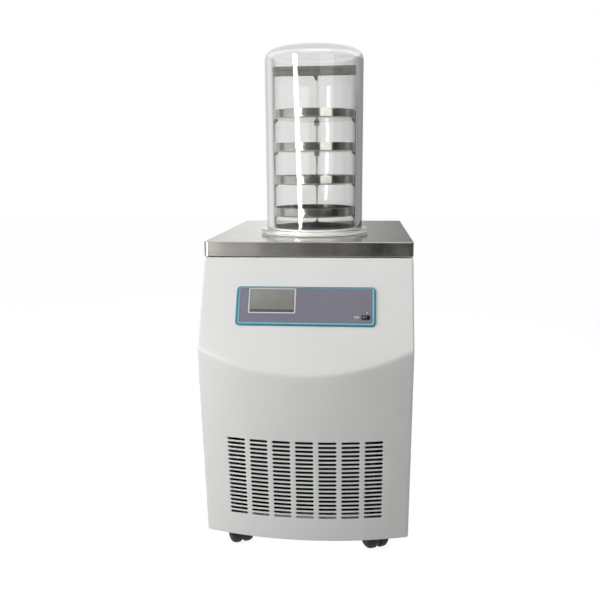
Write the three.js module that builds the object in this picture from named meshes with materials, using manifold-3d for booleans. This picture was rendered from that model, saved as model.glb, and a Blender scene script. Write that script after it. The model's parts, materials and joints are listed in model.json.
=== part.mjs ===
// A floor-standing freeze dryer: a painted cabinet on four swivel castors, a steel worktop
// with the cold trap let into it, and a clear bell jar over a rack of four trays.
// Millimetres, +Z up, front at -Y, the floor at z = 0 and the origin under the middle of
// the bounding box. Heights are above the floor unless a comment says otherwise.

import * as THREE from 'three';
import { mergeVertices } from 'three/addons/utils/BufferGeometryUtils.js';
import Module from 'manifold-3d';

const wasm = await Module();
wasm.setup();

// ---- Driving dimensions ------------------------------------------------------------------

const fit = 0.3;                  // gap left between pieces that touch

// Worktop: a folded steel tray turned upside down
const worktopWidth = 402;
const worktopDepth = 500;
const worktopHeight = 660;        // its top face
const worktopSkirt = 28;
const worktopSheet = 1.5;

// Cabinet
const sideInset = 0.5;            // sides stand this far inside the worktop's edges
const cabinetInset = 2;           // and the rear panel this far
const shadowGap = 2;              // between the worktop's skirt and the panels
const panelBottom = 83;           // lower edge of the front moulding
const sheet = 1.5;                // side and rear panels
const panelFlange = 14;           // folded edges of the side panels
const frameLeg = 22;              // angle section of the inner frame
const frameSheet = 2;
const pan = 2;                    // base pan sheet
const panRim = 24;
const panFront = 26;              // base pan's front edge ahead of the worktop's front edge

// Front moulding: a leaning flat facet over a crowned lower front
const frontWall = 3;
const frontReturn = 20;           // how far its sides run back past the worktop's front edge
const frontCorner = 4;            // radius of its upright edges
const footFlange = 18;            // inward flange along its bottom edge
const facetSlope = 0.547;         // forward run of the facet for each unit of drop
const facetDrop = 159;            // height of the facet at the sides
const lowerFoot = 49;             // bottom side corners ahead of the worktop's front edge
const crown = 28.6;               // how far the middle bulges ahead of the side edges

// Air slots in the lower front
const slotColumns = 7;
const slotRows = 19;
const slotLength = 34;
const slotHeight = 4;
const slotColumnPitch = 43.4;
const slotRowPitch = 8.81;
const slotFoot = 52.7;            // lowest row above the moulding's bottom edge

// Control panel, measured down the facet from its top edge
const controlWidth = 261;
const controlHeight = 76;
const controlTop = 61.5;
const controlCorner = 7.5;
const surroundSide = 6;
const surroundTop = 2.6;
const surroundRise = 2.2;
const membraneRise = 1.5;
const screenWidth = 84;
const screenHeight = 46;
const screenLeft = -105;
const screenTop = 65.5;
const screenGlass = 0.9;          // how far the glass stands proud of the facet
const screenDepth = 9;
const switchX = 112;
const switchDown = 120;
const switchDepth = 15;
const switchWall = 0.8;
const switchLip = 0.7;            // rim of the switch beyond its hole
const switchRim = 1.2;            // thickness of that rim
const rockerWidth = 9;
const rockerHeight = 4;
const rockerSwing = 1.2;          // room beside the rocker's ends as it tips
const rockerPivot = 4;            // pivot behind the facet's face
const rockerEdge = 3.8;           // rocker's level edges ahead of the facet's face
const rockerTilt = 8 * Math.PI / 180;
const ledX = 115;
const ledDown = 110.5;
const ledRadius = 1.5;
const boardLeft = -90;
const boardRight = 122;
const boardTop = 70;
const boardFoot = 114;
const boardStandoff = 15;
const boardSheet = 1.6;
const boardPost = 3;              // radius of its posts
const boardPostInset = 30;        // right-hand posts from the board's right edge

// Drying chamber: everything round stands on one upright axis
const chamberBack = 196.6;        // axis behind the worktop's front edge
const trapRadius = 80;            // inside
const trapWall = 1.5;
const trapDepth = 200;
const trapFlange = 24;
const trapCorner = 12;
const coilTube = 4;               // tube radius
const coilTurns = 4;
const coilPitch = 36;
const foamRoom = 1.6;             // between the coil and the foam round it
const foamWall = 22;
const foamFloor = 26;
const sealOuter = 112;
const sealBase = 2.5;
const sealCollar = 12.4;          // top of its inner collar above the worktop
const sealInner = 81.5;

const jarRadius = 103;
const jarWall = 12;
const jarTop = 388;               // above the worktop
const jarRise = 33;               // height of the rounded end
const jarKnuckle = 22;
const jarFlangeRadius = 115.5;
const jarFlange = 7;
const jarCollarGap = 0.7;

const trayRadius = 86;
const trayRim = 18.5;
const traySheet = 1;
const trayCount = 4;
const trayFirst = 37;             // underside of the lowest tray above the worktop
const trayPitch = 66.5;
const discSheet = 2;
const discHole = 7;
const stripSheet = 1.5;
const stripWidth = 12;
const backStripWidth = 5;         // the back strip is narrower between its lugs
const stripClear = 1.2;           // between a tray's rim and the strips
const stripFoot = 12;
const lugReach = 8;
const lugHeight = 7;
const barBottom = 326;            // above the worktop
const barHeight = 18.6;
const barDepth = 10;

// Refrigeration
const condenserRoom = 66;         // each end of the condenser to the cabinet's outer face
const condenserHeight = 210;
const condenserDepth = 36;
const condenserFront = 12;        // front face ahead of the worktop's front edge
const condenserBottom = 22;       // above the base pan
const tubeRadius = 4;
const shroudDepth = 26;
const fanRadius = 86;
const fanTip = 5;                 // clearance round the blades
const fanHub = 20;
const fanBlades = 5;
const motorRadius = 27;
const motorLength = 42;
const motorShaft = 4;
const compressorX = 78;
const compressorInset = 115;      // compressor's axis ahead of the worktop's back edge
const compressorRadius = 66;
const compressorHeight = 176;
const drierRadius = 11;
const drierLength = 84;
const drierBeside = 20;           // drier's axis beside the condenser
const drierBehind = 306;          // and behind it
const drierRise = 92;             // drier above the base pan

// Rear fittings
const portReach = 24;             // vacuum port's face behind the worktop's back edge
const portTurns = 2;              // whole turns of the coil below the vacuum port
const portRadius = 12.7;
const portFlange = 20;
const inletInset = 78;            // power inlet's axis inside the cabinet's left side
const inletHeight = 150;
const valveX = -60;
const valveHeight = 210;
const leverLength = 42;

// Castors
const wheelRadius = 30;
const wheelHalf = 25;             // half the width over both wheels
const wheelGap = 4.3;             // half the gap between them
const axleRadius = 4;
const casterTrail = 21.5;
const casterHeading = 112 * Math.PI / 180;   // direction in which the wheels trail
const casterInset = 56;           // swivel axes inside the cabinet's sides
const casterFront = 35;           // front axes behind the worktop's front edge
const casterRear = 60;            // rear axes ahead of the worktop's back edge
const hoodClear = 1.5;
const hoodWall = 3;
const plateSize = 60;
const platePlate = 3;
const stemRadius = 6;

// ---- Places worked out from the dimensions -----------------------------------------------

const half = worktopWidth / 2 - sideInset;
const facetTop = worktopHeight - worktopSkirt;
const panelTop = facetTop - shadowGap;
const creaseHeight = facetTop - facetDrop;
const creaseForward = facetSlope * facetDrop;
const lowerLean = (creaseForward - lowerFoot) / (creaseHeight - panelBottom);
const crownAt = (x) => crown * (1 - (x / half) ** 2);
const noseForward = facetSlope * (facetSlope * facetTop + lowerLean * panelBottom
  - lowerFoot - crownAt(slotColumnPitch / 2)) / (facetSlope + lowerLean);
const noseReach = facetSlope * facetTop - noseForward;
const frontY = (noseReach - worktopDepth - portReach) / 2;   // worktop's front edge
const behind = (distance) => frontY + distance;
const panelBack = behind(worktopDepth - cabinetInset);       // rear panel's outer face
const sideBottom = panelBottom + frontWall - sheet;
const panFloor = panelBottom + frontWall + fit;
const panTop = panFloor + pan;
const chamberY = behind(chamberBack);
const worktopUnder = worktopHeight - worktopSheet;
const frameTop = worktopUnder - fit;
const trapTop = worktopUnder - fit;
const trapOuter = trapRadius + trapWall;
const coilSteps = 12;             // straight stretches in one turn of the coil
const coilRing = (trapOuter + fit + coilTube) / Math.cos(Math.PI / coilSteps);
const coilStep = Math.hypot(2 * coilRing * Math.sin(Math.PI / coilSteps), coilPitch / coilSteps);
const coilLead = 2 * coilStep;
const foamInner = coilRing + coilTube + foamRoom;
const foamOuter = foamInner + foamWall;
const coilBottom = trapTop - trapDepth + 20;
const portHeight = coilBottom + coilPitch * (portTurns + 0.75);
const stripInner = trayRadius + stripClear;
const discTop = worktopHeight + sealCollar + fit + discSheet;
const trayBottom = (i) => worktopHeight + trayFirst + i * trayPitch;
const inletX = inletInset - half;
const condenserWidth = 2 * (half - condenserRoom);
const condenserY = behind(-condenserFront);
const condenserZ = panTop + condenserBottom;
const shroudY = condenserY + condenserDepth + fit;
const fanY = shroudY + shroudDepth / 2;
const fanZ = condenserZ + condenserHeight / 2;
const compressorY = behind(worktopDepth - compressorInset);
const facetAngle = Math.atan(facetSlope);
const switchBodyWide = rockerWidth / 2 + rockerSwing + switchWall;
const switchBodyTall = rockerHeight / 2 + fit + switchWall;

// ---- Shapes and solids -------------------------------------------------------------------

// One closed geometry as a solid: equal corners are merged and collapsed triangles dropped.
function solid(geometry) {
  const bare = geometry.index ? geometry.toNonIndexed() : geometry.clone();
  bare.deleteAttribute('normal');
  bare.deleteAttribute('uv');
  const merged = mergeVertices(bare, 1e-4);
  const index = merged.index.array;
  const triVerts = [];
  for (let i = 0; i < index.length; i += 3) {
    const [a, b, c] = [index[i], index[i + 1], index[i + 2]];
    if (a !== b && b !== c && c !== a) triVerts.push(a, b, c);
  }
  return new wasm.Manifold(new wasm.Mesh({
    numProp: 3,
    vertProperties: Float32Array.from(merged.attributes.position.array),
    triVerts: Uint32Array.from(triVerts),
  }));
}

// The solid's surface as a geometry with flat faces.
function surface(manifold) {
  const mesh = manifold.getMesh();
  const geometry = new THREE.BufferGeometry();
  geometry.setAttribute('position', new THREE.BufferAttribute(Float32Array.from(mesh.vertProperties), 3));
  geometry.setIndex(new THREE.BufferAttribute(Uint32Array.from(mesh.triVerts), 1));
  geometry.computeVertexNormals();
  return geometry;
}

const join = (...solids) => solids.reduce((sum, next) => sum.add(next));
const cut = (body, ...tools) => tools.reduce((rest, tool) => rest.subtract(tool), body);

function box(x0, x1, y0, y1, z0, z1) {
  const geometry = new THREE.BoxGeometry(x1 - x0, y1 - y0, z1 - z0);
  return solid(geometry.translate((x0 + x1) / 2, (y0 + y1) / 2, (z0 + z1) / 2));
}

// Round bars along each axis, turned by half a step so that a flat side faces each axis.
function bar(radius, length, sides) {
  return new THREE.CylinderGeometry(radius, radius, length, sides).rotateY(Math.PI / sides);
}
function barZ(x, y, z0, z1, radius, sides = 24) {
  return solid(bar(radius, z1 - z0, sides).rotateX(Math.PI / 2).translate(x, y, (z0 + z1) / 2));
}
function barY(x, z, y0, y1, radius, sides = 24) {
  return solid(bar(radius, y1 - y0, sides).translate(x, (y0 + y1) / 2, z));
}
function barX(y, z, x0, x1, radius, sides = 24) {
  return solid(bar(radius, x1 - x0, sides).rotateZ(Math.PI / 2).translate((x0 + x1) / 2, y, z));
}

// Flat outlines pushed along an axis: (x, y) along Z, (x, z) along Y and (y, z) along X.
function extrude(shapes, depth) {
  return new THREE.ExtrudeGeometry(shapes, { depth, bevelEnabled: false, curveSegments: 4 });
}
function alongZ(shapes, z0, z1) {
  return solid(extrude(shapes, z1 - z0).translate(0, 0, z0));
}
function alongY(shapes, y0, y1) {
  return solid(extrude(shapes, y1 - y0).rotateX(Math.PI / 2).translate(0, y1, 0));
}
function alongX(shapes, x0, x1) {
  const turn = new THREE.Matrix4().makeBasis(
    new THREE.Vector3(0, 1, 0), new THREE.Vector3(0, 0, 1), new THREE.Vector3(1, 0, 0));
  return solid(extrude(shapes, x1 - x0).applyMatrix4(turn).translate(x0, 0, 0));
}

function polygon(points) {
  return new THREE.Shape(points.map(([x, y]) => new THREE.Vector2(x, y)));
}

function arcPoints(cx, cy, radius, from, to, steps) {
  return Array.from({ length: steps + 1 }, (_, i) => {
    const angle = from + (to - from) * i / steps;
    return [cx + radius * Math.cos(angle), cy + radius * Math.sin(angle)];
  });
}

// A rectangle between two corners with round corners.
function roundedRect(x0, x1, y0, y1, radius, steps = 3) {
  const quarter = Math.PI / 2;
  return polygon([
    ...arcPoints(x1 - radius, y0 + radius, radius, -quarter, 0, steps),
    ...arcPoints(x1 - radius, y1 - radius, radius, 0, quarter, steps),
    ...arcPoints(x0 + radius, y1 - radius, radius, quarter, 2 * quarter, steps),
    ...arcPoints(x0 + radius, y0 + radius, radius, 2 * quarter, 3 * quarter, steps),
  ]);
}

// A profile of (radius, height) points turned about the upright axis through (0, 0).
function turned(points, sides) {
  const profile = points.map(([r, z]) => new THREE.Vector2(r, z));
  return solid(new THREE.LatheGeometry(profile, sides).rotateX(Math.PI / 2));
}

// A path of straight runs joined by smooth bends that start `bend` short of each corner.
function bentPath(points, bend) {
  const corners = points.map((p) => new THREE.Vector3(...p));
  const path = new THREE.CurvePath();
  let start = corners[0];
  for (let i = 1; i < corners.length - 1; i += 1) {
    const back = corners[i - 1].clone().sub(corners[i]).setLength(bend).add(corners[i]);
    const ahead = corners[i + 1].clone().sub(corners[i]).setLength(bend).add(corners[i]);
    path.add(new THREE.LineCurve3(start, back));
    path.add(new THREE.QuadraticBezierCurve3(back, corners[i], ahead));
    start = ahead;
  }
  path.add(new THREE.LineCurve3(start, corners[corners.length - 1]));
  return path;
}

// A round tube, solid inside, along a path.
function tube(path, radius, steps, sides = 8) {
  const section = polygon(arcPoints(0, 0, radius, 0, 2 * Math.PI, sides).slice(0, sides));
  return solid(new THREE.ExtrudeGeometry(section, { steps, extrudePath: path }));
}

// ---- Finishes ----------------------------------------------------------------------------

const finish = (color, roughness, metalness = 0) => (
  new THREE.MeshStandardMaterial({ color, roughness, metalness }));
const paint = finish('#e3e4e1', 0.45);
const steel = finish('#b9b8b3', 0.3, 1);
const polished = finish('#c4c3bf', 0.15, 1);
const clear = new THREE.MeshStandardMaterial({
  color: '#eef0ee', roughness: 0.05, transparent: true, opacity: 0.25 });
const silicone = finish('#e9e8e4', 0.6);
const black = finish('#1c1c1e', 0.5);
const teal = finish('#3f8796', 0.4);
const violet = finish('#827f8b', 0.5);
const copper = finish('#b0714a', 0.35, 1);
const zinc = finish('#9c9ea0', 0.5, 1);
const foam = finish('#d8cfa8', 0.9);
const board = finish('#2f6b45', 0.6);
const display = finish('#6f726f', 0.2);
const glow = finish('#dfe8df', 0.3);

const model = new THREE.Group();
const controls = new THREE.Group();       // x along the facet, z up it, -y out of it
controls.position.set(0, frontY, facetTop);
controls.rotation.x = -facetAngle;
model.add(controls);

function add(name, body, material, parent = model) {
  const mesh = new THREE.Mesh(surface(body), material);
  mesh.name = name;
  parent.add(mesh);
  return mesh;
}

// ---- Front moulding ----------------------------------------------------------------------

// Plan of the crowned front, moved in by `inset`: flat strips meet between the slot columns.
function frontPlan(inset) {
  const edge = half - inset;
  const radius = Math.max(frontCorner - inset, 1);
  const side = Math.atan(2 * crown / half);
  const cx = edge - radius;
  const cy = -crownAt(cx) + inset + radius / Math.cos(side);
  const right = arcPoints(cx, cy, radius, side - Math.PI / 2, 0, 2);
  const strips = [];
  for (let k = 1; k <= slotColumns; k += 2) {
    strips.push([k * slotColumnPitch / 2, -crownAt(k * slotColumnPitch / 2) + inset]);
  }
  const front = [...strips.map(([x, y]) => [-x, y]).reverse(), ...strips, ...right];
  const left = right.map(([x, y]) => [-x, y]).reverse();
  return [...left, ...front];
}

// The crowned front as a block that leans back towards its foot, from one height to another.
function leaningBlock(inset, bottom, top) {
  const back = [[half - inset, worktopDepth], [inset - half, worktopDepth]];
  const lean = new THREE.Matrix4().set(1, 0, 0, 0, 0, 1, -lowerLean, 0, 0, 0, 1, 0, 0, 0, 0, 1);
  const block = extrude(polygon([...frontPlan(inset), ...back]), top - bottom).applyMatrix4(lean);
  const atFoot = frontY - lowerFoot - lowerLean * (bottom - panelBottom);
  return solid(block.translate(0, atFoot, bottom));
}

// The same block cut by the facet and by the plane where the sides end.
function frontBlock(inset, bottom, top) {
  const back = behind(frontReturn) + inset;
  const far = frontY - noseReach - worktopSkirt;
  const shift = inset / Math.cos(facetAngle);
  const facetAt = (z) => frontY - facetSlope * (facetTop - z) + shift;
  const corner = facetTop - (frontY + shift - far) / facetSlope;
  const profile = polygon([[back, bottom], [far, bottom], [far, corner],
    [facetAt(top), top], [back, top]]);
  return leaningBlock(inset, bottom, top).intersect(alongX(profile, -half, half));
}

// One air slot with round ends, centred on (x, z).
function slot(x, z) {
  const end = slotHeight / 2;
  const reach = slotLength / 2 - end;
  return polygon([
    ...arcPoints(x + reach, z, end, -Math.PI / 2, Math.PI / 2, 2),
    ...arcPoints(x - reach, z, end, Math.PI / 2, 3 * Math.PI / 2, 2),
  ]);
}

function slots() {
  const shapes = [];
  for (let column = 0; column < slotColumns; column += 1) {
    for (let row = 0; row < slotRows; row += 1) {
      const x = (column - (slotColumns - 1) / 2) * slotColumnPitch;
      shapes.push(slot(x, panelBottom + slotFoot + row * slotRowPitch));
    }
  }
  return alongY(shapes, frontY - noseReach - 1, frontY - lowerFoot + frontWall + 4);
}

// Holes through the facet for the screen, the switch and the lamp, in the facet's own frame.
function facetHoles(y0, y1) {
  const screen = box(screenLeft, screenLeft + screenWidth, y0, y1,
    -screenTop - screenHeight, -screenTop);
  const wide = switchBodyWide + fit;
  const tall = switchBodyTall + fit;
  const body = box(switchX - wide, switchX + wide, y0, y1, -switchDown - tall, -switchDown + tall);
  const lamp = barY(ledX, -ledDown, y0, y1, ledRadius + fit, 12);
  return join(screen, body, lamp);
}

function frontPanel() {
  const wall = frontWall;
  const outer = frontBlock(0, panelBottom, panelTop);
  const inner = frontBlock(wall, panelBottom + wall, panelTop - wall);
  const foot = leaningBlock(footFlange, panelBottom - 1, panelBottom + wall + 1);
  const holes = facetHoles(-2, frontWall + 2)
    .rotate([-facetAngle * 180 / Math.PI, 0, 0]).translate([0, frontY, facetTop]);
  return cut(outer, inner, foot, slots(), holes);
}
add('front_panel', frontPanel(), paint);

// ---- Cabinet -----------------------------------------------------------------------------

const sideFront = behind(frontReturn) + fit;
const sideBack = panelBack - sheet - fit;

// A side panel is a shallow folded tray that opens inwards.
function sidePanel(side) {
  const at = (x) => (side > 0 ? x : -x);
  const span = (a, b) => [Math.min(at(a), at(b)), Math.max(at(a), at(b))];
  const outer = box(...span(half - panelFlange, half), sideFront, sideBack, sideBottom, panelTop);
  const inner = box(...span(half - panelFlange - 1, half - sheet),
    sideFront + sheet, sideBack - sheet, sideBottom + sheet, panelTop - sheet);
  return cut(outer, inner);
}
add('left_side_panel', sidePanel(-1), paint);
add('right_side_panel', sidePanel(1), paint);

// The rear panel is a flat sheet with cooling slots and holes for the fittings.
const rearSlotLength = 90;
const rearSlotHeight = 6;
const rearSlotPitch = 14;
const rearSlotRows = 8;
const rearSlotBottom = 300;
const rearSlotX = 62;
const inletWidth = 27;
const inletTall = 20;
const valveStem = 8;
function rearPanel() {
  const y0 = panelBack - sheet;
  const shapes = [];
  for (const side of [-1, 1]) {
    for (let row = 0; row < rearSlotRows; row += 1) {
      const z = rearSlotBottom + row * rearSlotPitch;
      const x = side * rearSlotX - rearSlotLength / 2;
      shapes.push(polygon([[x, z], [x + rearSlotLength, z],
        [x + rearSlotLength, z + rearSlotHeight], [x, z + rearSlotHeight]]));
    }
  }
  return cut(
    box(-half, half, y0, panelBack, sideBottom, panelTop),
    alongY(shapes, y0 - 1, panelBack + 1),
    box(inletX - inletWidth / 2 - fit, inletX + inletWidth / 2 + fit, y0 - 1, panelBack + 1,
      inletHeight - inletTall / 2 - fit, inletHeight + inletTall / 2 + fit),
    barY(valveX, valveHeight, y0 - 1, panelBack + 1, valveStem + fit, 16),
    barY(0, portHeight, y0 - 1, panelBack + 1, portRadius + fit, 20),
  );
}
add('rear_panel', rearPanel(), paint);

// The base pan carries the frame, the refrigeration set and the castors.
const panHalf = half - panelFlange - fit;
function basePan() {
  const y0 = behind(-panFront);
  const rim = panFloor + panRim;
  return cut(
    box(-panHalf, panHalf, y0, sideBack, panFloor, rim),
    box(-panHalf + pan, panHalf - pan, y0 + pan, sideBack - pan, panTop, rim + 1),
  );
}
add('base_pan', basePan(), zinc);

// Four angle posts stand in the pan and reach up inside the ring of the top frame.
const ringWall = frameSheet + fit;
const postHalf = panHalf - Math.max(ringWall, pan + fit);
const postFront = sideFront + ringWall;
const postBack = sideBack - Math.max(ringWall, pan + fit);
function post(sideX, sideY) {
  const x = sideX * postHalf;
  const y = sideY < 0 ? postFront : postBack;
  const span = (a, b) => [Math.min(a, b), Math.max(a, b)];
  const z0 = panTop + fit;
  const z1 = frameTop - ringWall;
  return cut(
    box(...span(x, x - sideX * frameLeg), ...span(y, y - sideY * frameLeg), z0, z1),
    box(...span(x - sideX * frameSheet, x - sideX * (frameLeg + 1)),
      ...span(y - sideY * frameSheet, y - sideY * (frameLeg + 1)), z0 - 1, z1 + 1),
  );
}
for (const [name, sideX, sideY] of [
  ['frame_post_front_left', -1, -1], ['frame_post_front_right', 1, -1],
  ['frame_post_rear_left', -1, 1], ['frame_post_rear_right', 1, 1]]) {
  add(name, post(sideX, sideY), zinc);
}

// The top frame is a welded ring of angle: a level flange with its outer edge turned down.
function topFrame() {
  const x = panHalf;
  const [y0, y1] = [sideFront, sideBack];
  return cut(
    box(-x, x, y0, y1, frameTop - frameLeg, frameTop),
    box(-x + frameSheet, x - frameSheet, y0 + frameSheet, y1 - frameSheet,
      frameTop - frameLeg - 1, frameTop - frameSheet),
    box(-x + frameLeg, x - frameLeg, y0 + frameLeg, y1 - frameLeg,
      frameTop - frameLeg - 1, frameTop + 1),
  );
}
add('top_frame', topFrame(), zinc);

// The worktop is one folded sheet with a hole over the cold trap.
function worktop() {
  const x = worktopWidth / 2;
  const y0 = frontY;
  const y1 = behind(worktopDepth);
  return cut(
    box(-x, x, y0, y1, facetTop, worktopHeight),
    box(-x + worktopSheet, x - worktopSheet, y0 + worktopSheet, y1 - worktopSheet,
      facetTop - 1, worktopUnder),
    barZ(0, chamberY, worktopUnder - 1, worktopHeight + 1, trapRadius, 40),
  );
}
add('worktop', worktop(), polished);

// ---- Drying chamber ----------------------------------------------------------------------

const chamber = new THREE.Group();        // origin on the chamber's axis at floor level
chamber.position.set(0, chamberY, 0);
model.add(chamber);

// The cold trap is a spun pot with a wide rim under the worktop and a drain in its floor.
const trapBottom = trapTop - trapDepth;
const drainRadius = 5;
function coldTrap() {
  const c = trapCorner;
  const quarter = Math.PI / 2;
  const inside = arcPoints(trapRadius - c, trapBottom + trapWall + c, c, -quarter, 0, 2);
  const outside = arcPoints(trapRadius - c, trapBottom + trapWall + c, c + trapWall,
    0, -quarter, 2);
  const pot = turned([
    [0, trapBottom + trapWall], ...inside, [trapRadius, trapTop],
    [trapRadius + trapFlange, trapTop], [trapRadius + trapFlange, trapTop - trapWall],
    [trapOuter, trapTop - trapWall], ...outside, [0, trapBottom],
  ].reverse(), 30);
  const port = barY(0, portHeight, trapRadius - 5, trapOuter + 5, portRadius - 2, 16);
  const drain = barZ(0, 0, trapBottom - 1, trapBottom + trapWall + 1, drainRadius - 1, 12);
  return cut(pot, port, drain);
}
add('cold_trap', coldTrap(), steel, chamber);

// The evaporator is one tube wound round the pot, with a straight lead off each end.
function evaporatorCoil() {
  const count = coilSteps * coilTurns;
  const wound = Array.from({ length: count + 1 }, (_, i) => {
    const angle = 2 * Math.PI * i / coilSteps;
    return new THREE.Vector3(coilRing * Math.cos(angle), coilRing * Math.sin(angle),
      coilBottom + coilPitch * i / coilSteps);
  });
  const lead = (end, sense) => new THREE.Vector3(end.x, end.y + sense * coilLead, end.z);
  const points = [lead(wound[0], -1), ...wound, lead(wound[count], 1)];
  const path = new THREE.CurvePath();
  for (let i = 1; i < points.length; i += 1) {
    path.add(new THREE.LineCurve3(points[i - 1], points[i]));
  }
  return tube(path, coilTube, count + 4, 5);
}
add('evaporator_coil', evaporatorCoil(), copper, chamber);

// Foam fills the space round the pot and leaves room for the coil, its leads and the pipes.
const foamTop = trapTop - trapWall - fit;
const foamBottom = trapBottom - foamFloor;
function trapInsulation() {
  const shell = turned([
    [0, foamBottom], [foamOuter, foamBottom], [foamOuter, foamTop], [foamInner, foamTop],
    [foamInner, trapBottom - fit], [0, trapBottom - fit],
  ], 32);
  const bore = (coilTube + fit) / Math.cos(Math.PI / 8);
  const lead = (z, y0, y1) => barY(coilRing, z, y0, y1, bore, 8);
  return cut(shell,
    lead(coilBottom, -coilLead - 40, 0),
    lead(coilBottom + coilPitch * coilTurns, 0, coilLead + 40),
    barY(0, portHeight, foamInner - 8, foamOuter + 5, portRadius + fit, 16),
    barZ(0, 0, foamBottom - 1, trapBottom + 1, drainRadius + fit, 12));
}
add('trap_insulation', trapInsulation(), foam, chamber);

// The silicone seal is a flat ring with a collar that centres the jar and carries the rack.
const sealUnder = worktopHeight + fit;
const jarInner = jarRadius - jarWall;
function sealRing() {
  const z1 = sealUnder + sealBase;
  const collar = worktopHeight + sealCollar;
  const rim = jarInner - jarCollarGap;
  return turned([
    [sealInner, sealUnder], [sealOuter, sealUnder], [sealOuter, z1], [rim, z1],
    [rim, collar], [sealInner, collar], [sealInner, sealUnder],
  ], 36);
}
add('seal_ring', sealRing(), silicone, chamber);

// The jar's rounded end is a shallow sphere cap joined to the tube by a tight knuckle.
// (crownRadius - rise)^2 = (crownRadius - knuckle)^2 - (radius - knuckle)^2
const jarCrown = ((jarRadius - jarKnuckle) ** 2 - jarKnuckle ** 2 + jarRise ** 2)
  / (2 * (jarRise - jarKnuckle));
function jarEnd(inset) {
  const top = worktopHeight + jarTop;
  const knuckleZ = top - jarRise;
  const knuckleR = jarRadius - jarKnuckle;
  const meet = Math.asin(knuckleR / (jarCrown - jarKnuckle));
  const turn = Math.PI / 2 - meet;
  const knuckle = arcPoints(knuckleR, knuckleZ, jarKnuckle - inset, 0, turn, 4);
  const cap = arcPoints(0, top - jarCrown, jarCrown - inset, turn, Math.PI / 2, 3).slice(1);
  cap[cap.length - 1][0] = 0;
  return [...knuckle, ...cap];
}
function bellJar() {
  const z0 = sealUnder + sealBase + fit;
  return turned([
    ...jarEnd(jarWall).reverse(), [jarInner, z0], [jarFlangeRadius, z0],
    [jarFlangeRadius, z0 + jarFlange], [jarRadius, z0 + jarFlange], ...jarEnd(0),
  ], 36);
}
add('bell_jar', bellJar(), clear, chamber);

// ---- Tray rack ---------------------------------------------------------------------------

// The base disc lies on the seal's collar and is drilled so that vapour reaches the trap.
const discRings = [[0, 1], [28, 6], [56, 10]];    // radius of a ring of holes, and their number
function rackDisc() {
  const z0 = discTop - discSheet;
  let disc = barZ(0, 0, z0, discTop, trayRadius, 30);
  for (const [ring, count] of discRings) {
    for (let i = 0; i < count; i += 1) {
      const angle = 2 * Math.PI * i / count;
      disc = cut(disc, barZ(ring * Math.cos(angle), ring * Math.sin(angle),
        z0 - 1, discTop + 1, discHole, 6));
    }
  }
  return disc;
}
add('rack_base_disc', rackDisc(), steel, chamber);

// An upright is a strip with a foot on the disc and a lug under each tray. It is drawn at
// the back, reaching in along -y, and turned to its place.
const stripTop = worktopHeight + barBottom + barHeight;
function rackUpright(width) {
  const w = stripWidth / 2;
  const z0 = discTop + fit;
  const pieces = [
    box(-width / 2, width / 2, stripInner, stripInner + stripSheet, z0, stripTop),
    box(-w, w, stripInner - stripFoot, stripInner + stripSheet / 2, z0, z0 + stripSheet),
  ];
  for (let i = 0; i < trayCount; i += 1) {
    const z = trayBottom(i) - fit;
    pieces.push(alongX(polygon([[stripInner + stripSheet / 2, z], [stripInner - lugReach, z],
      [stripInner - lugReach, z - 1], [stripInner + stripSheet / 2, z - lugHeight]]), -w, w));
  }
  return join(...pieces);
}
for (const [name, width, turn] of [['rack_upright_back', backStripWidth, 0],
  ['rack_upright_left', stripWidth, 1], ['rack_upright_right', stripWidth, -1]]) {
  add(name, rackUpright(width).rotate([0, 0, 90 * turn]), steel, chamber);
}

// The top bar joins the three uprights: a cross bar with an arm to the back one.
function rackTopBar() {
  const reach = stripInner - fit;
  const z0 = stripTop - barHeight;
  const groove = barHeight / 8;
  const middle = stripTop - barHeight / 2;
  const y = barDepth / 2;
  return cut(
    join(box(-reach, reach, -y, y, z0, stripTop),
      box(-backStripWidth / 2, backStripWidth / 2, 0, reach, z0, stripTop)),
    box(-reach - 1, reach + 1, -y - 1, -y + 1, middle - groove / 2, middle + groove / 2));
}
add('rack_top_bar', rackTopBar(), steel, chamber);

// Each tray is a pressed dish.
const trayCorner = 2.5;
function tray(z) {
  const r = trayRadius;
  const top = z + trayRim;
  const inside = r - traySheet;
  return turned([
    [0, z], [r - trayCorner, z], [r, z + trayCorner], [r, top], [inside, top],
    [inside, z + trayCorner], [inside - trayCorner + traySheet, z + traySheet], [0, z + traySheet],
  ], 30);
}
for (let i = 0; i < trayCount; i += 1) {
  add(`tray_${i + 1}`, tray(trayBottom(i)), steel, chamber);
}

// ---- Control panel -----------------------------------------------------------------------

const controlBottom = -controlTop - controlHeight;
const windowBottom = controlBottom + surroundSide;
const windowTop = -controlTop - surroundTop;
const windowSide = controlWidth / 2 - surroundSide;
const windowCorner = Math.max(controlCorner - surroundSide, 1.5);

function controlSurround() {
  const outer = roundedRect(-controlWidth / 2, controlWidth / 2, controlBottom, -controlTop,
    controlCorner);
  const window = roundedRect(-windowSide, windowSide, windowBottom, windowTop, windowCorner, 2);
  return cut(alongY(outer, -surroundRise - fit, -fit), alongY(window, -surroundRise - 1, 1));
}
add('control_surround', controlSurround(), teal, controls);

function controlMembrane() {
  const plate = roundedRect(-windowSide + fit, windowSide - fit, windowBottom + fit,
    windowTop - fit, windowCorner, 2);
  return cut(alongY(plate, -membraneRise - fit, -fit), facetHoles(-membraneRise - 2, 1));
}
add('control_membrane', controlMembrane(), violet, controls);

// The screen's glass fills the window and meets the display module behind the facet.
const screenRight = screenLeft + screenWidth;
const screenBottom = -screenTop - screenHeight;
add('screen_glass', box(screenLeft + fit, screenRight - fit, -screenGlass - fit, frontWall,
  screenBottom + fit, -screenTop - fit), display, controls);
add('display_module', box(screenLeft - 6, screenRight + 6, frontWall + fit,
  frontWall + screenDepth, screenBottom - 4, -screenTop + 4), black, controls);

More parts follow.
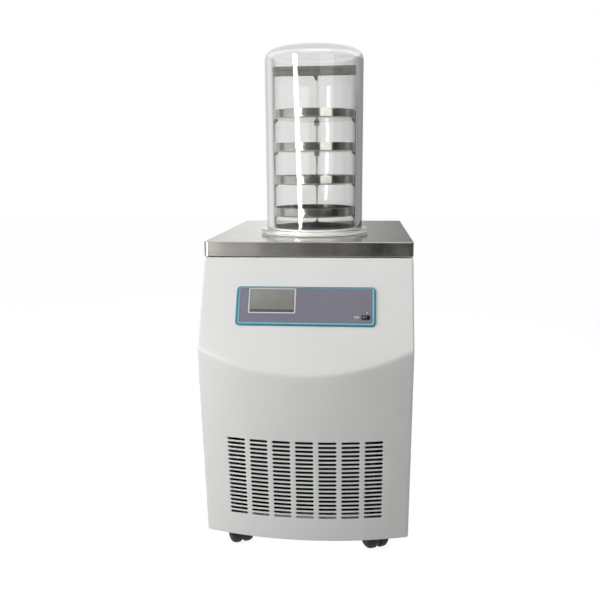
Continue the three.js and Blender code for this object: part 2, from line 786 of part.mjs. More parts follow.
// The switch body clips into the facet; its rocker tips about an axis that runs up the facet.
const cavityWide = rockerWidth / 2 + rockerSwing;
const cavityTall = rockerHeight / 2 + fit;
const rockerHub = 1.6;
function switchHousing() {
  const lip = -membraneRise - 2 * fit;
  const wide = switchBodyWide + fit + switchLip;
  const tall = switchBodyTall + fit + switchLip;
  const body = join(
    box(-wide, wide, lip - switchRim, lip, -tall, tall),
    box(-switchBodyWide, switchBodyWide, lip - switchRim / 2, switchDepth,
      -switchBodyTall, switchBodyTall));
  const cavity = box(-cavityWide, cavityWide, lip - switchRim - 1,
    rockerPivot + 2 * rockerHub, -cavityTall, cavityTall);
  return cut(body, cavity).translate([switchX, 0, -switchDown]);
}
add('switch_housing', switchHousing(), black, controls);

// The rocker's face is a shallow V; at rest its left end is pressed in.
function switchRocker() {
  const w = rockerWidth / 2;
  const edge = rockerPivot + rockerEdge;
  const valley = edge - w * Math.tan(rockerTilt);
  const profile = polygon([
    [-w, -edge], [0, -valley], [w, -edge], [w, -edge + 2 * rockerHub], [rockerHub, rockerHub],
    [-rockerHub, rockerHub], [-w, -edge + 2 * rockerHub]]);
  return alongZ(profile, -rockerHeight / 2, rockerHeight / 2);
}
const rocker = add('switch_rocker', switchRocker(), black, controls);
rocker.position.set(switchX, rockerPivot, -switchDown);
rocker.rotation.z = -rockerTilt;

// The lamp stands on the board and shows through the facet; the board hangs on four posts.
const boardY = frontWall + boardStandoff + fit;
add('power_lamp', barY(ledX, -ledDown, -membraneRise - 3 * fit, boardY - fit, ledRadius, 12),
  glow, controls);
function controlBoard() {
  const back = boardY + boardSheet / 2;
  const posts = [];
  for (const z of [-boardTop - 2 * boardPost, -boardFoot + 2 * boardPost]) {
    const onFacet = barY(boardRight - boardPostInset, z, frontWall + fit, back, boardPost, 12);
    const onDisplay = barY(boardLeft + 2 * boardPost, z, frontWall + screenDepth + fit, back,
      boardPost, 12);
    posts.push(onFacet, onDisplay);
  }
  return join(box(boardLeft, boardRight, boardY, boardY + boardSheet, -boardFoot, -boardTop),
    ...posts);
}
add('control_board', controlBoard(), board, controls);

// ---- Refrigeration set -------------------------------------------------------------------

// The condenser is a finned block on two side plates that stand in the base pan.
const condenserTop = condenserZ + condenserHeight;
const condenserHalf = condenserWidth / 2;
function condenser() {
  const y1 = condenserY + condenserDepth;
  const plate = (x) => box(x, x + frameSheet, condenserY, y1, panTop + fit, condenserTop);
  return join(box(-condenserHalf, condenserHalf, condenserY, y1, condenserZ, condenserTop),
    plate(-condenserHalf), plate(condenserHalf - frameSheet));
}
add('condenser', condenser(), zinc);

const shroudRear = shroudY + shroudDepth;
function fanShroud() {
  return cut(
    box(-condenserHalf, condenserHalf, shroudY, shroudRear, condenserZ, condenserTop),
    barY(0, fanZ, shroudY - 1, shroudRear + 1, fanRadius + fanTip, 36));
}
add('fan_shroud', fanShroud(), black);

// The motor hangs behind the shroud on a three-legged spider.
const motorFront = shroudRear + 6;
const spiderSheet = 3;
const spiderWidth = 8;
const spiderFoot = fanRadius + fanTip + 3;
function fanMotor() {
  let body = barY(0, 0, motorFront, motorFront + motorLength, motorRadius, 20);
  for (let leg = 0; leg < 3; leg += 1) {
    const arm = join(
      box(-spiderWidth / 2, spiderWidth / 2, motorFront, motorFront + spiderSheet,
        motorRadius / 2, spiderFoot + spiderWidth),
      box(-spiderWidth / 2, spiderWidth / 2, shroudRear + fit, motorFront + spiderSheet,
        spiderFoot, spiderFoot + spiderWidth));
    body = join(body, arm.rotate([0, 120 * leg, 0]));
  }
  const bore = barY(0, 0, motorFront - 1, motorFront + 14, motorShaft + fit, 12);
  return cut(body, bore).translate([0, 0, fanZ]);
}
add('fan_motor', fanMotor(), black);

// The rotor is a hub with pitched blades and the shaft that runs in the motor.
const bladeChord = 44;
const bladePitch = 28;
const bladeSheet = 2;
function fanRotor() {
  const hub = shroudDepth / 3;
  let rotor = join(barY(0, 0, -hub, hub, fanHub, 20),
    barY(0, 0, 0, motorFront + 12 - fanY, motorShaft, 12));
  for (let blade = 0; blade < fanBlades; blade += 1) {
    const vane = box(-bladeChord / 2, bladeChord / 2, -bladeSheet / 2, bladeSheet / 2,
      fanHub - 4, fanRadius).rotate([0, 0, bladePitch]);
    rotor = join(rotor, vane.rotate([0, 360 * blade / fanBlades, 0]));
  }
  return rotor;
}
add('fan_rotor', fanRotor(), steel).position.set(0, fanY, fanZ);

// The compressor is a welded can on a cross plate with four rubber feet.
const footHeight = 12;
const footSpan = 62;
const stubLength = 12;
const stubX = 30;
const terminalHalf = 22;          // half the width of the cover over its terminals
const terminalReach = 16;
const terminalFoot = 60;
const terminalTop = 112;
const canBottom = panTop + footHeight;
const canTop = canBottom + compressorHeight;
function compressor() {
  const r = compressorRadius;
  const dome = r / 3;
  const can = turned([[0, canBottom], [r * 0.7, canBottom], [r, canBottom + dome],
    [r, canTop - dome], [r * 0.85, canTop - dome / 3], [r * 0.5, canTop], [0, canTop]], 22);
  const span = footSpan;
  const plate = box(-span - 10, span + 10, -span - 10, span + 10,
    canBottom - 2, canBottom + 1);
  const feet = [[-1, -1], [1, -1], [1, 1], [-1, 1]].map(([sx, sy]) => (
    barZ(sx * span, sy * span, panTop + fit, canBottom - 1, 9, 12)));
  const stubs = [-stubX, stubX].map((x) => (
    barZ(x, 0, canTop - dome, canTop + stubLength, tubeRadius + 1, 12)));
  const terminals = box(-terminalHalf, terminalHalf, -r - terminalReach, -r + footHeight,
    canBottom + terminalFoot, canBottom + terminalTop);
  return join(can, plate, ...feet, ...stubs, terminals).translate([compressorX, compressorY, 0]);
}
add('compressor', compressor(), black);

// Filter drier: an upright copper capsule that the lines carry.
const drierX = -condenserHalf - drierBeside;
const drierY = condenserY + condenserDepth + drierBehind;
const drierBottom = panTop + drierRise;
const drierTop = drierBottom + drierLength;
const drierNeck = 12;
function filterDrier() {
  const neck = tubeRadius + 1;
  return turned([[0, drierBottom], [neck, drierBottom], [drierRadius, drierBottom + drierNeck],
    [drierRadius, drierTop - drierNeck], [neck, drierTop], [0, drierTop]], 16)
    .translate([drierX, drierY, 0]);
}
add('filter_drier', filterDrier(), copper);

// The refrigerant lines: out of the compressor, through the condenser and the drier, up the
// thin capillary to the coil, and back from the coil to the compressor.
const lineBend = 14;
const lineRise = 50;
const stubTop = canTop + stubLength + fit;
const condenserMid = condenserY + condenserDepth / 2;
const liquidRise = 30;
const liquidHeight = condenserZ + liquidRise;
const capillaryRadius = 1.5;
const capillaryRun = foamBottom - 32;
const capillaryLead = 24;         // how far the lines run on past the coil's leads
const suctionLead = 60;
const liquidBend = 9;
const leadLow = [coilRing, chamberY - coilLead, coilBottom];
const leadHigh = [coilRing, chamberY + coilLead, coilBottom + coilPitch * coilTurns];
const capillaryFront = leadLow[1] - capillaryLead;
const suctionBack = leadHigh[1] + suctionLead;
add('discharge_line', tube(bentPath([
  [compressorX - stubX, compressorY, stubTop],
  [compressorX - stubX, compressorY, stubTop + lineRise],
  [compressorX - stubX, condenserMid, stubTop + lineRise],
  [compressorX - stubX, condenserMid, condenserTop + fit]], lineBend), tubeRadius, 22, 6), copper);
add('liquid_line', tube(bentPath([
  [-condenserHalf - fit, condenserMid, liquidHeight], [drierX, condenserMid, liquidHeight],
  [drierX, drierY, liquidHeight], [drierX, drierY, drierBottom - fit]], liquidBend), tubeRadius,
22, 6), copper);
add('capillary_line', tube(bentPath([
  [drierX, drierY, drierTop + fit], [drierX, drierY, capillaryRun],
  [drierX, capillaryFront, capillaryRun], [leadLow[0], capillaryFront, capillaryRun],
  [leadLow[0], capillaryFront, leadLow[2]], [leadLow[0], leadLow[1] - fit, leadLow[2]]],
lineBend), capillaryRadius, 36, 5), copper);
add('suction_line', tube(bentPath([
  [leadHigh[0], leadHigh[1] + fit, leadHigh[2]], [leadHigh[0], suctionBack, leadHigh[2]],
  [leadHigh[0], suctionBack, stubTop + 2 * lineRise],
  [compressorX + stubX, compressorY, stubTop + 2 * lineRise],
  [compressorX + stubX, compressorY, stubTop]], lineBend), tubeRadius, 26, 6), copper);

// ---- Rear fittings -----------------------------------------------------------------------

// Vacuum port: a pipe from the side of the trap to a flange behind the cabinet.
const portFlangeSheet = 4;
function vacuumPipe() {
  const y0 = chamberY + trapRadius;
  const y1 = behind(worktopDepth + portReach);
  return cut(
    join(barY(0, portHeight, y0, y1, portRadius, 20),
      barY(0, portHeight, y1 - portFlangeSheet, y1, portFlange, 24)),
    barY(0, portHeight, y0 - 1, y1 + 1, portRadius - 2, 16),
    barZ(0, chamberY, portHeight - 30, portHeight + 30, trapOuter + fit, 36));
}
add('vacuum_pipe', vacuumPipe(), steel);

// Power inlet with a recess for a plug and three blades in it.
const inletFlange = 2.5;
const inletDepth = 18;
function powerInlet() {
  const y0 = panelBack - inletDepth;
  const y1 = panelBack + fit + inletFlange;
  const [w, t] = [inletWidth / 2, inletTall / 2];
  const floor = y0 + 3;
  const blade = (x, z) => box(x - 1, x + 1, floor - 1, y1 - 3, z - 2, z + 2);
  return join(
    cut(join(box(-w, w, y0, y1, -t, t), box(-w - 11, w + 11, panelBack + fit, y1, -t - 4, t + 4)),
      box(-w + 1.5, w - 1.5, floor, y1 + 1, -t + 1.5, t - 1.5)),
    blade(-7, -2), blade(7, -2), blade(0, 3)).translate([inletX, 0, inletHeight]);
}
add('power_inlet', powerInlet(), black);

// Drain: a tube from the trap's floor to a small cock on the rear panel.
const valveInside = 18;
const valveNut = 4;
const valveBlock = 12;
const spoutDrop = 30;
const spoutRadius = 4.5;
const leverSheet = 3;
const leverPin = 3;
const drainTurn = foamBottom - 40;
const valveFace = panelBack + fit + valveNut + valveBlock;
add('drain_tube', tube(bentPath([
  [0, chamberY, trapBottom - fit], [0, chamberY, drainTurn], [valveX, chamberY, drainTurn],
  [valveX, chamberY, valveHeight], [valveX, panelBack - valveInside - fit, valveHeight]], 16),
drainRadius, 34, 7), silicone);
function valveBody() {
  const seat = panelBack + fit;
  const body = join(
    barY(0, 0, panelBack - valveInside, seat + 1, valveStem, 16),
    barY(0, 0, seat, seat + valveNut + 1, valveStem + 4, 6),
    box(-9, 9, seat + valveNut, valveFace, -9, 9),
    barZ(0, valveFace - valveBlock / 2, -spoutDrop, 0, spoutRadius, 12));
  const bore = barY(0, 0, valveFace - 7, valveFace + 1, leverPin + fit, 12);
  return cut(body, bore).translate([valveX, 0, valveHeight]);
}
add('drain_cock_body', valveBody(), polished);
function valveLever() {
  const y0 = valveFace + fit;
  return join(
    barY(0, 0, y0, y0 + leverSheet + 1, 8, 16),
    box(0, leverLength, y0, y0 + leverSheet, -4, 4),
    barY(0, 0, valveFace - 6, y0 + 1, leverPin, 12)).translate([valveX, 0, valveHeight]);
}
add('drain_cock_lever', valveLever(), black);

// ---- Castors -----------------------------------------------------------------------------

// Drawn with the swivel axis at the origin, the floor at z = 0 and the wheels trailing in +x.
const plateTop = panFloor - fit;
const plateUnder = plateTop - platePlate;
const hoodSteps = 7;
const hoodInner = wheelRadius + hoodClear;
const hoodCut = hoodInner / Math.cos(0.51 * Math.PI / hoodSteps);   // its flats clear the wheels
const hoodOuter = hoodCut + hoodWall;

function casterPlate() {
  const s = plateSize / 2;
  return cut(box(-s, s, -s, s, plateUnder, plateTop),
    barZ(0, 0, plateUnder - 1, plateTop + 1, (stemRadius + fit) / Math.cos(Math.PI / 10), 10));
}

// The hood is a curved shell over both wheels with a web between them and the swivel stem.
function casterHood() {
  const [cx, cz] = [casterTrail, wheelRadius];
  const from = 0.1 * Math.PI;
  const to = 0.98 * Math.PI;
  const shell = polygon([...arcPoints(cx, cz, hoodOuter, from, to, hoodSteps),
    ...arcPoints(cx, cz, hoodCut, to, from, hoodSteps)]);
  const web = polygon([...arcPoints(cx, cz, hoodCut + hoodWall / 2, from, to, hoodSteps),
    ...arcPoints(cx, cz, wheelRadius * 0.62, 1.3 * Math.PI, 1.9 * Math.PI, 3)]);
  const thick = wheelGap - 2 * fit;
  const boss = cut(barZ(0, 0, cz, plateUnder - fit, stemRadius + 7, 12),
    barY(cx, cz, -wheelHalf * 2, wheelHalf * 2, hoodCut, 20));
  return cut(
    join(alongY(shell, -wheelHalf - 1, wheelHalf + 1), alongY(web, -thick, thick), boss,
      barZ(0, 0, plateUnder - 1, plateTop - fit, stemRadius, 10)),
    barY(cx, cz, -thick - 1, thick + 1, axleRadius + fit, 10));
}

// Both wheels and their axle turn together. A flat of the tread lies on the floor.
const wheelSides = 18;
const wheelEdge = 9;              // round shoulder of the tread
function casterWheels() {
  const tread = wheelRadius / Math.cos(Math.PI / wheelSides);
  const shoulder = arcPoints(tread - wheelEdge, wheelHalf - wheelEdge, wheelEdge,
    0, Math.PI / 2, 2);
  const side = [[axleRadius, wheelGap], [tread, wheelGap], ...shoulder, [0, wheelHalf]];
  const other = side.map(([r, z]) => [r, -z]).reverse();
  const upright = turned([...other, ...side], wheelSides)
    .rotate([0, 0, 180 / wheelSides]).rotate([90, 0, 0]);
  return upright.translate([casterTrail, 0, wheelRadius]);
}

const casterX = half - casterInset;
const casterBack = worktopDepth - casterRear;
for (const [place, x, back] of [
  ['front_left', -casterX, casterFront], ['front_right', casterX, casterFront],
  ['rear_left', -casterX, casterBack], ['rear_right', casterX, casterBack]]) {
  const mount = new THREE.Group();
  mount.position.set(x, behind(back), 0);
  const swivel = new THREE.Group();
  swivel.rotation.z = casterHeading;
  mount.add(swivel);
  model.add(mount);
  add(`caster_plate_${place}`, casterPlate(), zinc, mount);
  add(`caster_hood_${place}`, casterHood(), black, swivel);
  add(`caster_wheels_${place}`, casterWheels(), black, swivel);
}

export default model;
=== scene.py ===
# %% [markdown]
# # A floor-standing freeze dryer
# The machine is a painted cabinet on castors with a steel worktop, and a clear bell jar
# over a rack of trays. The frame holds every solid at its real place and size. This
# script dresses that frame: it leaves good solids where they are, puts finer surfaces
# over the ones that show, and gives everything the finish of its real material.

# %% Load the frame
import json
import math

import bmesh
import bpy
import numpy as np
from mathutils import Matrix, Vector


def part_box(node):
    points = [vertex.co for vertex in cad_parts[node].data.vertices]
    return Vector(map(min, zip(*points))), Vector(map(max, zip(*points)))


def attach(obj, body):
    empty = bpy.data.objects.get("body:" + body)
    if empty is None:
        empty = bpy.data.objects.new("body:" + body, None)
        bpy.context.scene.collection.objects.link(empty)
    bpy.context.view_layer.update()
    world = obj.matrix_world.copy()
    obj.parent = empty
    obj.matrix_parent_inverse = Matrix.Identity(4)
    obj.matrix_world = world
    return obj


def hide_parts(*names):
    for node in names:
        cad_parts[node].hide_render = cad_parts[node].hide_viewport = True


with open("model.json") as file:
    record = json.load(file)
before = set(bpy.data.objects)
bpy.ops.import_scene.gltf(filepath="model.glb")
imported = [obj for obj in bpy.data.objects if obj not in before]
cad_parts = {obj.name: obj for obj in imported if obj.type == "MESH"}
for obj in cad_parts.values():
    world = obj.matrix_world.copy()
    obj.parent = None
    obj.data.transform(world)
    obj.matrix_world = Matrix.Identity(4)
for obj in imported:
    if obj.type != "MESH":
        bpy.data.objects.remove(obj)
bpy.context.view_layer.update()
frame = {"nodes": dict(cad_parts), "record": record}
print("nodes in the frame:", len(frame["nodes"]))

# %% [markdown]
# ## Lengths, places and meshes
# Workshop drawings are in millimetres, so all shapes here are too, and one function turns
# them into metres as it makes the object. A shape is a pair: an array of points and a
# list of faces. Objects stay at the origin with their place in the mesh, so that a
# pattern on object coordinates means the same thing on every piece.

# %% Places that the frame gives
def box_mm(node):
    """Lowest and highest corner of a frame node, in millimetres."""
    low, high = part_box(node)
    return np.array(low) * 1000, np.array(high) * 1000


front_line = box_mm("worktop")[0][1]              # y of the worktop's front edge
worktop_top = box_mm("worktop")[1][2]
facet_top = box_mm("worktop")[0][2]               # the sloping facet would meet it here
edge = box_mm("front_panel")[1][0]                # half the width of the cabinet
chamber_y = float(np.mean([corner[1] for corner in box_mm("seal_ring")]))
body_of = {node: body for body, nodes in frame["record"]["behaviour"]["bodies"].items()
           for node in nodes}
slot_of = {part["node"]: part["material_slot"] for part in frame["record"]["subparts"]}
print(f"worktop at {worktop_top:.1f} mm, chamber axis at y = {chamber_y:.1f} mm")


# %% Shapes as arrays
def grid_faces(rows, columns, wrap=False):
    """Quads of a grid of points counted along its rows: (i, j), (i, j+1), (i+1, j+1), (i+1, j)."""
    i, j = np.meshgrid(np.arange(rows - 1), np.arange(columns - (not wrap)), indexing="ij")
    k = (j + 1) % columns
    return np.stack([i * columns + j, i * columns + k, (i + 1) * columns + k,
                     (i + 1) * columns + j], -1).reshape(-1, 4)


def joined(*shapes):
    """Several shapes as one: each list of faces is counted on from the points before it."""
    starts = np.cumsum([0] + [len(points) for points, _ in shapes[:-1]])
    faces = [tuple(int(v) + start for v in face)
             for (_, own), start in zip(shapes, starts) for face in own]
    return np.concatenate([points for points, _ in shapes]), faces


def placed(shape, origin=(0, 0, 0), x=(1, 0, 0), y=(0, 1, 0), z=(0, 0, 1)):
    """The shape with its own axes laid along x, y and z: P = origin + px x + py y + pz z."""
    points, faces = shape
    return points @ np.array([x, y, z], float) + np.array(origin, float), faces


def mesh_object(name, shape, finish, sharp=35.0, outward=True, even=True):
    """An object in metres from a shape in millimetres, with double points merged.

    Even shading weighs each face by its area, so a flat stays flat up to its round edge.
    """
    points, faces = shape
    mesh = bpy.data.meshes.new(name)
    mesh.from_pydata((points * 0.001).tolist(), [], [tuple(map(int, f)) for f in faces])
    work = bmesh.new()
    work.from_mesh(mesh)
    bmesh.ops.remove_doubles(work, verts=work.verts, dist=2e-6)
    if outward:
        bmesh.ops.recalc_face_normals(work, faces=work.faces)
    work.to_mesh(mesh)
    work.free()
    mesh.materials.append(finish)
    mesh.shade_smooth()
    mesh.set_sharp_from_angle(angle=math.radians(sharp))
    piece = bpy.data.objects.new(name, mesh)
    bpy.context.scene.collection.objects.link(piece)
    if even:
        piece.modifiers.new("even shading", "WEIGHTED_NORMAL").keep_sharp = True
    return piece


# %% [markdown]
# Most round things here were spun or turned, so they are profiles carried round an axis.
# Corners on real sheet and moulded parts are never sharp, so outlines get their corners
# rounded before anything is made from them.

# %% Profiles and outlines
def rounded(corners, radii, steps=4):
    """A closed outline with round corners.

    For unit vectors u and v from a corner to its neighbours, half the angle between them
    is h. The arc starts radius / tan h along u, ends as far along v, and its centre is
    radius / sin h along their bisector. Points between are spread evenly over the arc.
    """
    corners = np.asarray(corners, float)
    radii = np.broadcast_to(np.asarray(radii, float), (len(corners),))[:, None]
    unit = lambda a: a / np.linalg.norm(a, axis=-1, keepdims=True)
    u = unit(np.roll(corners, 1, 0) - corners)
    v = unit(np.roll(corners, -1, 0) - corners)
    h = np.arccos(np.clip((u * v).sum(-1, keepdims=True), -1, 1)) / 2
    centre = corners + unit(u + v) * radii / np.sin(h)
    start, end = corners + u * radii / np.tan(h), corners + v * radii / np.tan(h)
    share = np.linspace(0, 1, steps + 1)[None, :]
    sweep = math.pi - 2 * h
    weight_a = np.sin((1 - share) * sweep) / np.sin(sweep)
    weight_b = np.sin(share * sweep) / np.sin(sweep)
    points = (centre[:, None] + weight_a[..., None] * (start - centre)[:, None]
              + weight_b[..., None] * (end - centre)[:, None])
    return points.reshape(-1, 2)


def circle(radius, sides, centre=(0, 0)):
    """Points evenly round a circle."""
    angle = np.arange(sides) * 2 * math.pi / sides
    return np.stack([centre[0] + radius * np.cos(angle), centre[1] + radius * np.sin(angle)], -1)


def rectangle(x0, x1, y0, y1):
    """The corners of a rectangle."""
    return np.array([(x0, y0), (x1, y0), (x1, y1), (x0, y1)], float)


def arc(centre, radius, start, end, steps):
    """Points along an arc from one angle to another, in degrees."""
    angle = np.radians(np.linspace(start, end, steps + 1))
    return np.stack([centre[0] + radius * np.cos(angle), centre[1] + radius * np.sin(angle)], -1)


def revolved(profile, sides=128, closed=True):
    """A (radius, height) profile turned about the z axis: x = r cos a, y = r sin a, z = h."""
    profile = np.asarray(profile, float)
    if closed:
        profile = np.concatenate([profile, profile[:1]])
    angle = np.arange(sides) * 2 * math.pi / sides
    radius, height = profile[:, 0, None], profile[:, 1, None]
    points = np.stack([radius * np.cos(angle), radius * np.sin(angle),
                       height + 0 * angle], -1).reshape(-1, 3)
    return points, grid_faces(len(profile), sides, wrap=True)


def filled(curve):
    """The mesh of a filled curve as a shape; the curve is taken away again."""
    holder = bpy.data.objects.new(curve.name, curve)
    mesh = bpy.data.meshes.new_from_object(holder)
    points = np.empty(len(mesh.vertices) * 3)
    mesh.vertices.foreach_get("co", points)
    faces = [tuple(polygon.vertices) for polygon in mesh.polygons]
    bpy.data.objects.remove(holder)
    bpy.data.curves.remove(curve)
    bpy.data.meshes.remove(mesh)
    return points.reshape(-1, 3), faces


def plate(outlines, thickness, soft=0.0, steps=2):
    """A flat plate from z = 0 to its thickness.

    The first outline is the edge and the rest are holes. A filled flat curve makes the
    faces, because it copes with any number of holes, and its bevel rounds every edge.
    """
    curve = bpy.data.curves.new("outline", "CURVE")
    curve.dimensions, curve.fill_mode = "2D", "BOTH"
    for outline in outlines:
        spline = curve.splines.new("POLY")
        spline.points.add(len(outline) - 1)
        flat = np.pad(outline, ((0, 0), (0, 2)))       # x, y, z and a weight
        flat[:, 3] = 1.0
        spline.points.foreach_set("co", flat.ravel())
        spline.use_cyclic_u = True
    curve.extrude, curve.bevel_depth = thickness / 2 - soft, soft
    curve.bevel_resolution, curve.offset = steps, -soft
    points, faces = filled(curve)
    return points + (0, 0, thickness / 2), faces


# %% [markdown]
# ## Finishes
# A finish starts from one Principled shader with the colour, roughness and metal of the
# real material. What makes it look real is that none of these is quite even, so most
# finishes also get a noise pattern whose size is a real length. The camera sees about
# two millimetres in one picture point, so finer grain is there for close views.

# %% Tools for materials
def linear(colour):
    """An sRGB hex colour as linear red, green, blue and alpha: ((c + 0.055) / 1.055) ^ 2.4."""
    srgb = np.array([int(colour[i:i + 2], 16) for i in (1, 3, 5)]) / 255
    low = srgb <= 0.04045
    return (*np.where(low, srgb / 12.92, ((srgb + 0.055) / 1.055) ** 2.4).tolist(), 1.0)


def add(tree, kind, settings=None, links=None):
    """One node, with its settings (own properties or unlinked sockets) and its links."""
    node = tree.nodes.new(kind)
    for key, value in (settings or {}).items():
        if isinstance(key, str) and hasattr(node, key):
            setattr(node, key, value)
        else:
            node.inputs[key].default_value = value
    for key, source in (links or {}).items():
        tree.links.new(source, node.inputs[key])
    return node


def finish(name, colour, roughness, metallic=0.0, **sockets):
    """A material with one Principled shader; sockets set its other inputs."""
    material = bpy.data.materials.new(name)
    material.use_nodes = True
    shader = material.node_tree.nodes["Principled BSDF"]
    shader.inputs["Base Color"].default_value = linear(colour)
    shader.inputs["Roughness"].default_value = roughness
    shader.inputs["Metallic"].default_value = metallic
    for socket, value in sockets.items():
        shader.inputs[socket.replace("_", " ")].default_value = value
    return material


def uneven(material, size, tones=None, rough=None, bump=0.0, stretch=(1, 1, 1), detail=3.0):
    """Makes a finish uneven over patches of a size in millimetres.

    One noise pattern on object coordinates moves the colour between two tones, the
    roughness between two values and the surface up and down by `bump` millimetres.
    A stretch below 1 along an axis draws the pattern out along it.
    """
    tree = material.node_tree
    shader = tree.nodes["Principled BSDF"]
    where = add(tree, "ShaderNodeTexCoord")
    scaled = add(tree, "ShaderNodeMapping", {"Scale": [s * 1000 / size for s in stretch]},
                 {"Vector": where.outputs["Object"]})
    noise = add(tree, "ShaderNodeTexNoise", {"Scale": 1.0, "Detail": detail, "Roughness": 0.55},
                {"Vector": scaled.outputs["Vector"]})
    value = noise.outputs["Fac"]
    if tones:
        ramp = add(tree, "ShaderNodeValToRGB", {}, {"Fac": value})
        ramp.color_ramp.elements[0].position, ramp.color_ramp.elements[1].position = 0.3, 0.7
        ramp.color_ramp.elements[0].color = linear(tones[0])
        ramp.color_ramp.elements[1].color = linear(tones[1])
        tree.links.new(ramp.outputs["Color"], shader.inputs["Base Color"])
    if rough:
        spread = add(tree, "ShaderNodeMapRange", {"From Min": 0.3, "From Max": 0.7,
                                                  "To Min": rough[0], "To Max": rough[1]},
                     {"Value": value})
        tree.links.new(spread.outputs["Result"], shader.inputs["Roughness"])
    if bump:
        relief = add(tree, "ShaderNodeBump", {"Strength": 1.0, "Distance": bump * 0.001},
                     {"Height": value})
        before = shader.inputs["Normal"].links
        if before:
            tree.links.new(before[0].from_socket, relief.inputs["Normal"])
        tree.links.new(relief.outputs["Normal"], shader.inputs["Normal"])
    return material


# %% [markdown]
# The cabinet is powder coated: a thick sprayed paint, baked until it flows. It keeps a
# faint orange-peel ripple a couple of millimetres across and a soft sheen, so it gets a
# shallow bump of that size and a tone that drifts over a hand's breadth.

# %% Painted and plated sheet
off_white = finish("powder coat off-white", "#E4E5E2", 0.42, Specular_IOR_Level=0.4)
uneven(off_white, 2.2, bump=0.006, rough=(0.38, 0.46))
uneven(off_white, 130, tones=("#E2E3E0", "#E6E7E4"))
zinc = finish("zinc plated sheet", "#A9ABAD", 0.42, 1.0)
uneven(zinc, 14, tones=("#9C9FA2", "#B6B8B9"), rough=(0.32, 0.55))
enamel = finish("black enamel", "#191A1C", 0.28)
uneven(enamel, 3, bump=0.01, rough=(0.22, 0.34))

# %% [markdown]
# Two stainless finishes are used. The worktop is polished on a long belt, so its scratches
# run along its length and streak the reflections. The chamber parts are spun or bent from
# satin sheet, which is a little rougher and has no strong direction.

# %% Stainless steel
polished = finish("belt polished stainless steel", "#BDBAB4", 0.16, 1.0)
uneven(polished, 60, tones=("#B8B5AF", "#C4C1BB"), rough=(0.12, 0.22))
uneven(polished, 1.6, bump=0.0016, stretch=(0.02, 1, 1))
satin = finish("satin stainless steel", "#B4B1AB", 0.24, 1.0)
uneven(satin, 26, tones=("#ACA9A3", "#BCB9B3"), rough=(0.2, 0.3))
uneven(satin, 1.2, bump=0.0012, stretch=(1, 1, 0.1))
bright = finish("bright rolled stainless steel", "#C2BFB9", 0.12, 1.0)
uneven(bright, 20, tones=("#BEBBB5", "#C8C5BF"), rough=(0.09, 0.16))
blasted = finish("bead blasted stainless steel", "#CFCECB", 0.6, 0.35)
uneven(blasted, 2.5, tones=("#CAC9C6", "#D4D3D0"), rough=(0.55, 0.66), bump=0.01)
# This dark grey steel paints the shade under the trays, on the disc and on the lugs of the strips;
# the top bar wears it too.
drilled = finish("dark stainless steel with painted shade", "#5B5954", 0.72, 0.3)
uneven(drilled, 12, tones=("#4E4C47", "#6A6862"), rough=(0.66, 0.8))

# %% [markdown]
# The jar is cast acrylic with a polished surface. Light has to pass two thick walls to
# reach the trays and come back, and the renderer doesn't follow a lamp's light through
# glass. So the acrylic turns transparent for shadow rays, and the trays stay lit. Light
# that runs inside the wall turns back many times, and the renderer gives it up after a
# few, which would make the edge of the dome black. After two turns it goes straight on,
# a little dimmed, and the edge of the dome is as pale as on the real jar.

# %% Clear and translucent materials
acrylic = finish("polished cast acrylic", "#F1F2F1", 0.015, IOR=1.49, Transmission_Weight=1.0)
tree = acrylic.node_tree
path = add(tree, "ShaderNodeLightPath")
turned_often = add(tree, "ShaderNodeMath", {"operation": "GREATER_THAN", 1: 2.5},
                   {0: path.outputs["Glossy Depth"]})
goes_on = add(tree, "ShaderNodeMath", {"operation": "MAXIMUM"},
              {0: turned_often.outputs[0], 1: path.outputs["Is Shadow Ray"]})
dimming = add(tree, "ShaderNodeMixRGB", {1: linear("#D9DCD9"), 2: linear("#F4F6F4")},
              {0: path.outputs["Is Shadow Ray"]})
clear = add(tree, "ShaderNodeBsdfTransparent", {}, {"Color": dimming.outputs[0]})
either = add(tree, "ShaderNodeMixShader", {}, {
    0: goes_on.outputs[0], 1: tree.nodes["Principled BSDF"].outputs["BSDF"],
    2: clear.outputs["BSDF"]})
tree.links.new(either.outputs["Shader"], tree.nodes["Material Output"].inputs["Surface"])
silicone = finish("white silicone rubber", "#E6E5E1", 0.4, Subsurface_Weight=0.25,
                  Subsurface_Scale=0.004)
uneven(silicone, 18, tones=("#E1E0DC", "#EAE9E5"), rough=(0.34, 0.48))

# %% [markdown]
# The control panel is a printed plastic film in a moulded teal surround, with a glass
# window over the display. Film is embossed with a very fine grain that kills its shine.
# Black parts are moulded in nylon and ABS, which come out of the tool slightly textured.

# %% Plastics and small parts
teal = finish("teal ABS", "#1F7688", 0.4)
uneven(teal, 1.4, bump=0.008, tones=("#1C7283", "#237B8D"))
pale_blue = finish("pale blue ABS", "#7EBDD1", 0.4)
uneven(pale_blue, 1.4, bump=0.008, tones=("#7AB9CD", "#83C2D5"))
film = finish("violet grey printed film", "#7D7B88", 0.6, Specular_IOR_Level=0.25)
uneven(film, 0.9, bump=0.012, rough=(0.55, 0.66))
uneven(film, 90, tones=("#797784", "#82808C"))
print_white = finish("white screen ink", "#D8D9DD", 0.5)
uneven(print_white, 2, tones=("#D2D3D8", "#DEDFE2"))
# This dark ink paints the shadow along the lower edge of the display window.
print_dark = finish("dark ink for painted shadow", "#4A4B4C", 0.45)
uneven(print_dark, 2, tones=("#464748", "#4F5051"))
window = finish("grey display window", "#83847F", 0.32)
uneven(window, 30, tones=("#7F807B", "#878883"))
lens = finish("milky lamp lens", "#F2F4F2", 0.3)
uneven(lens, 2, tones=("#EEF0EE", "#F6F8F6"))
black_plastic = finish("black moulded nylon", "#151517", 0.48, Specular_IOR_Level=0.3)
uneven(black_plastic, 1.1, bump=0.015, tones=("#121214", "#1B1B1D"), rough=(0.42, 0.56))
tread = finish("black castor tread", "#131314", 0.55, Specular_IOR_Level=0.3)
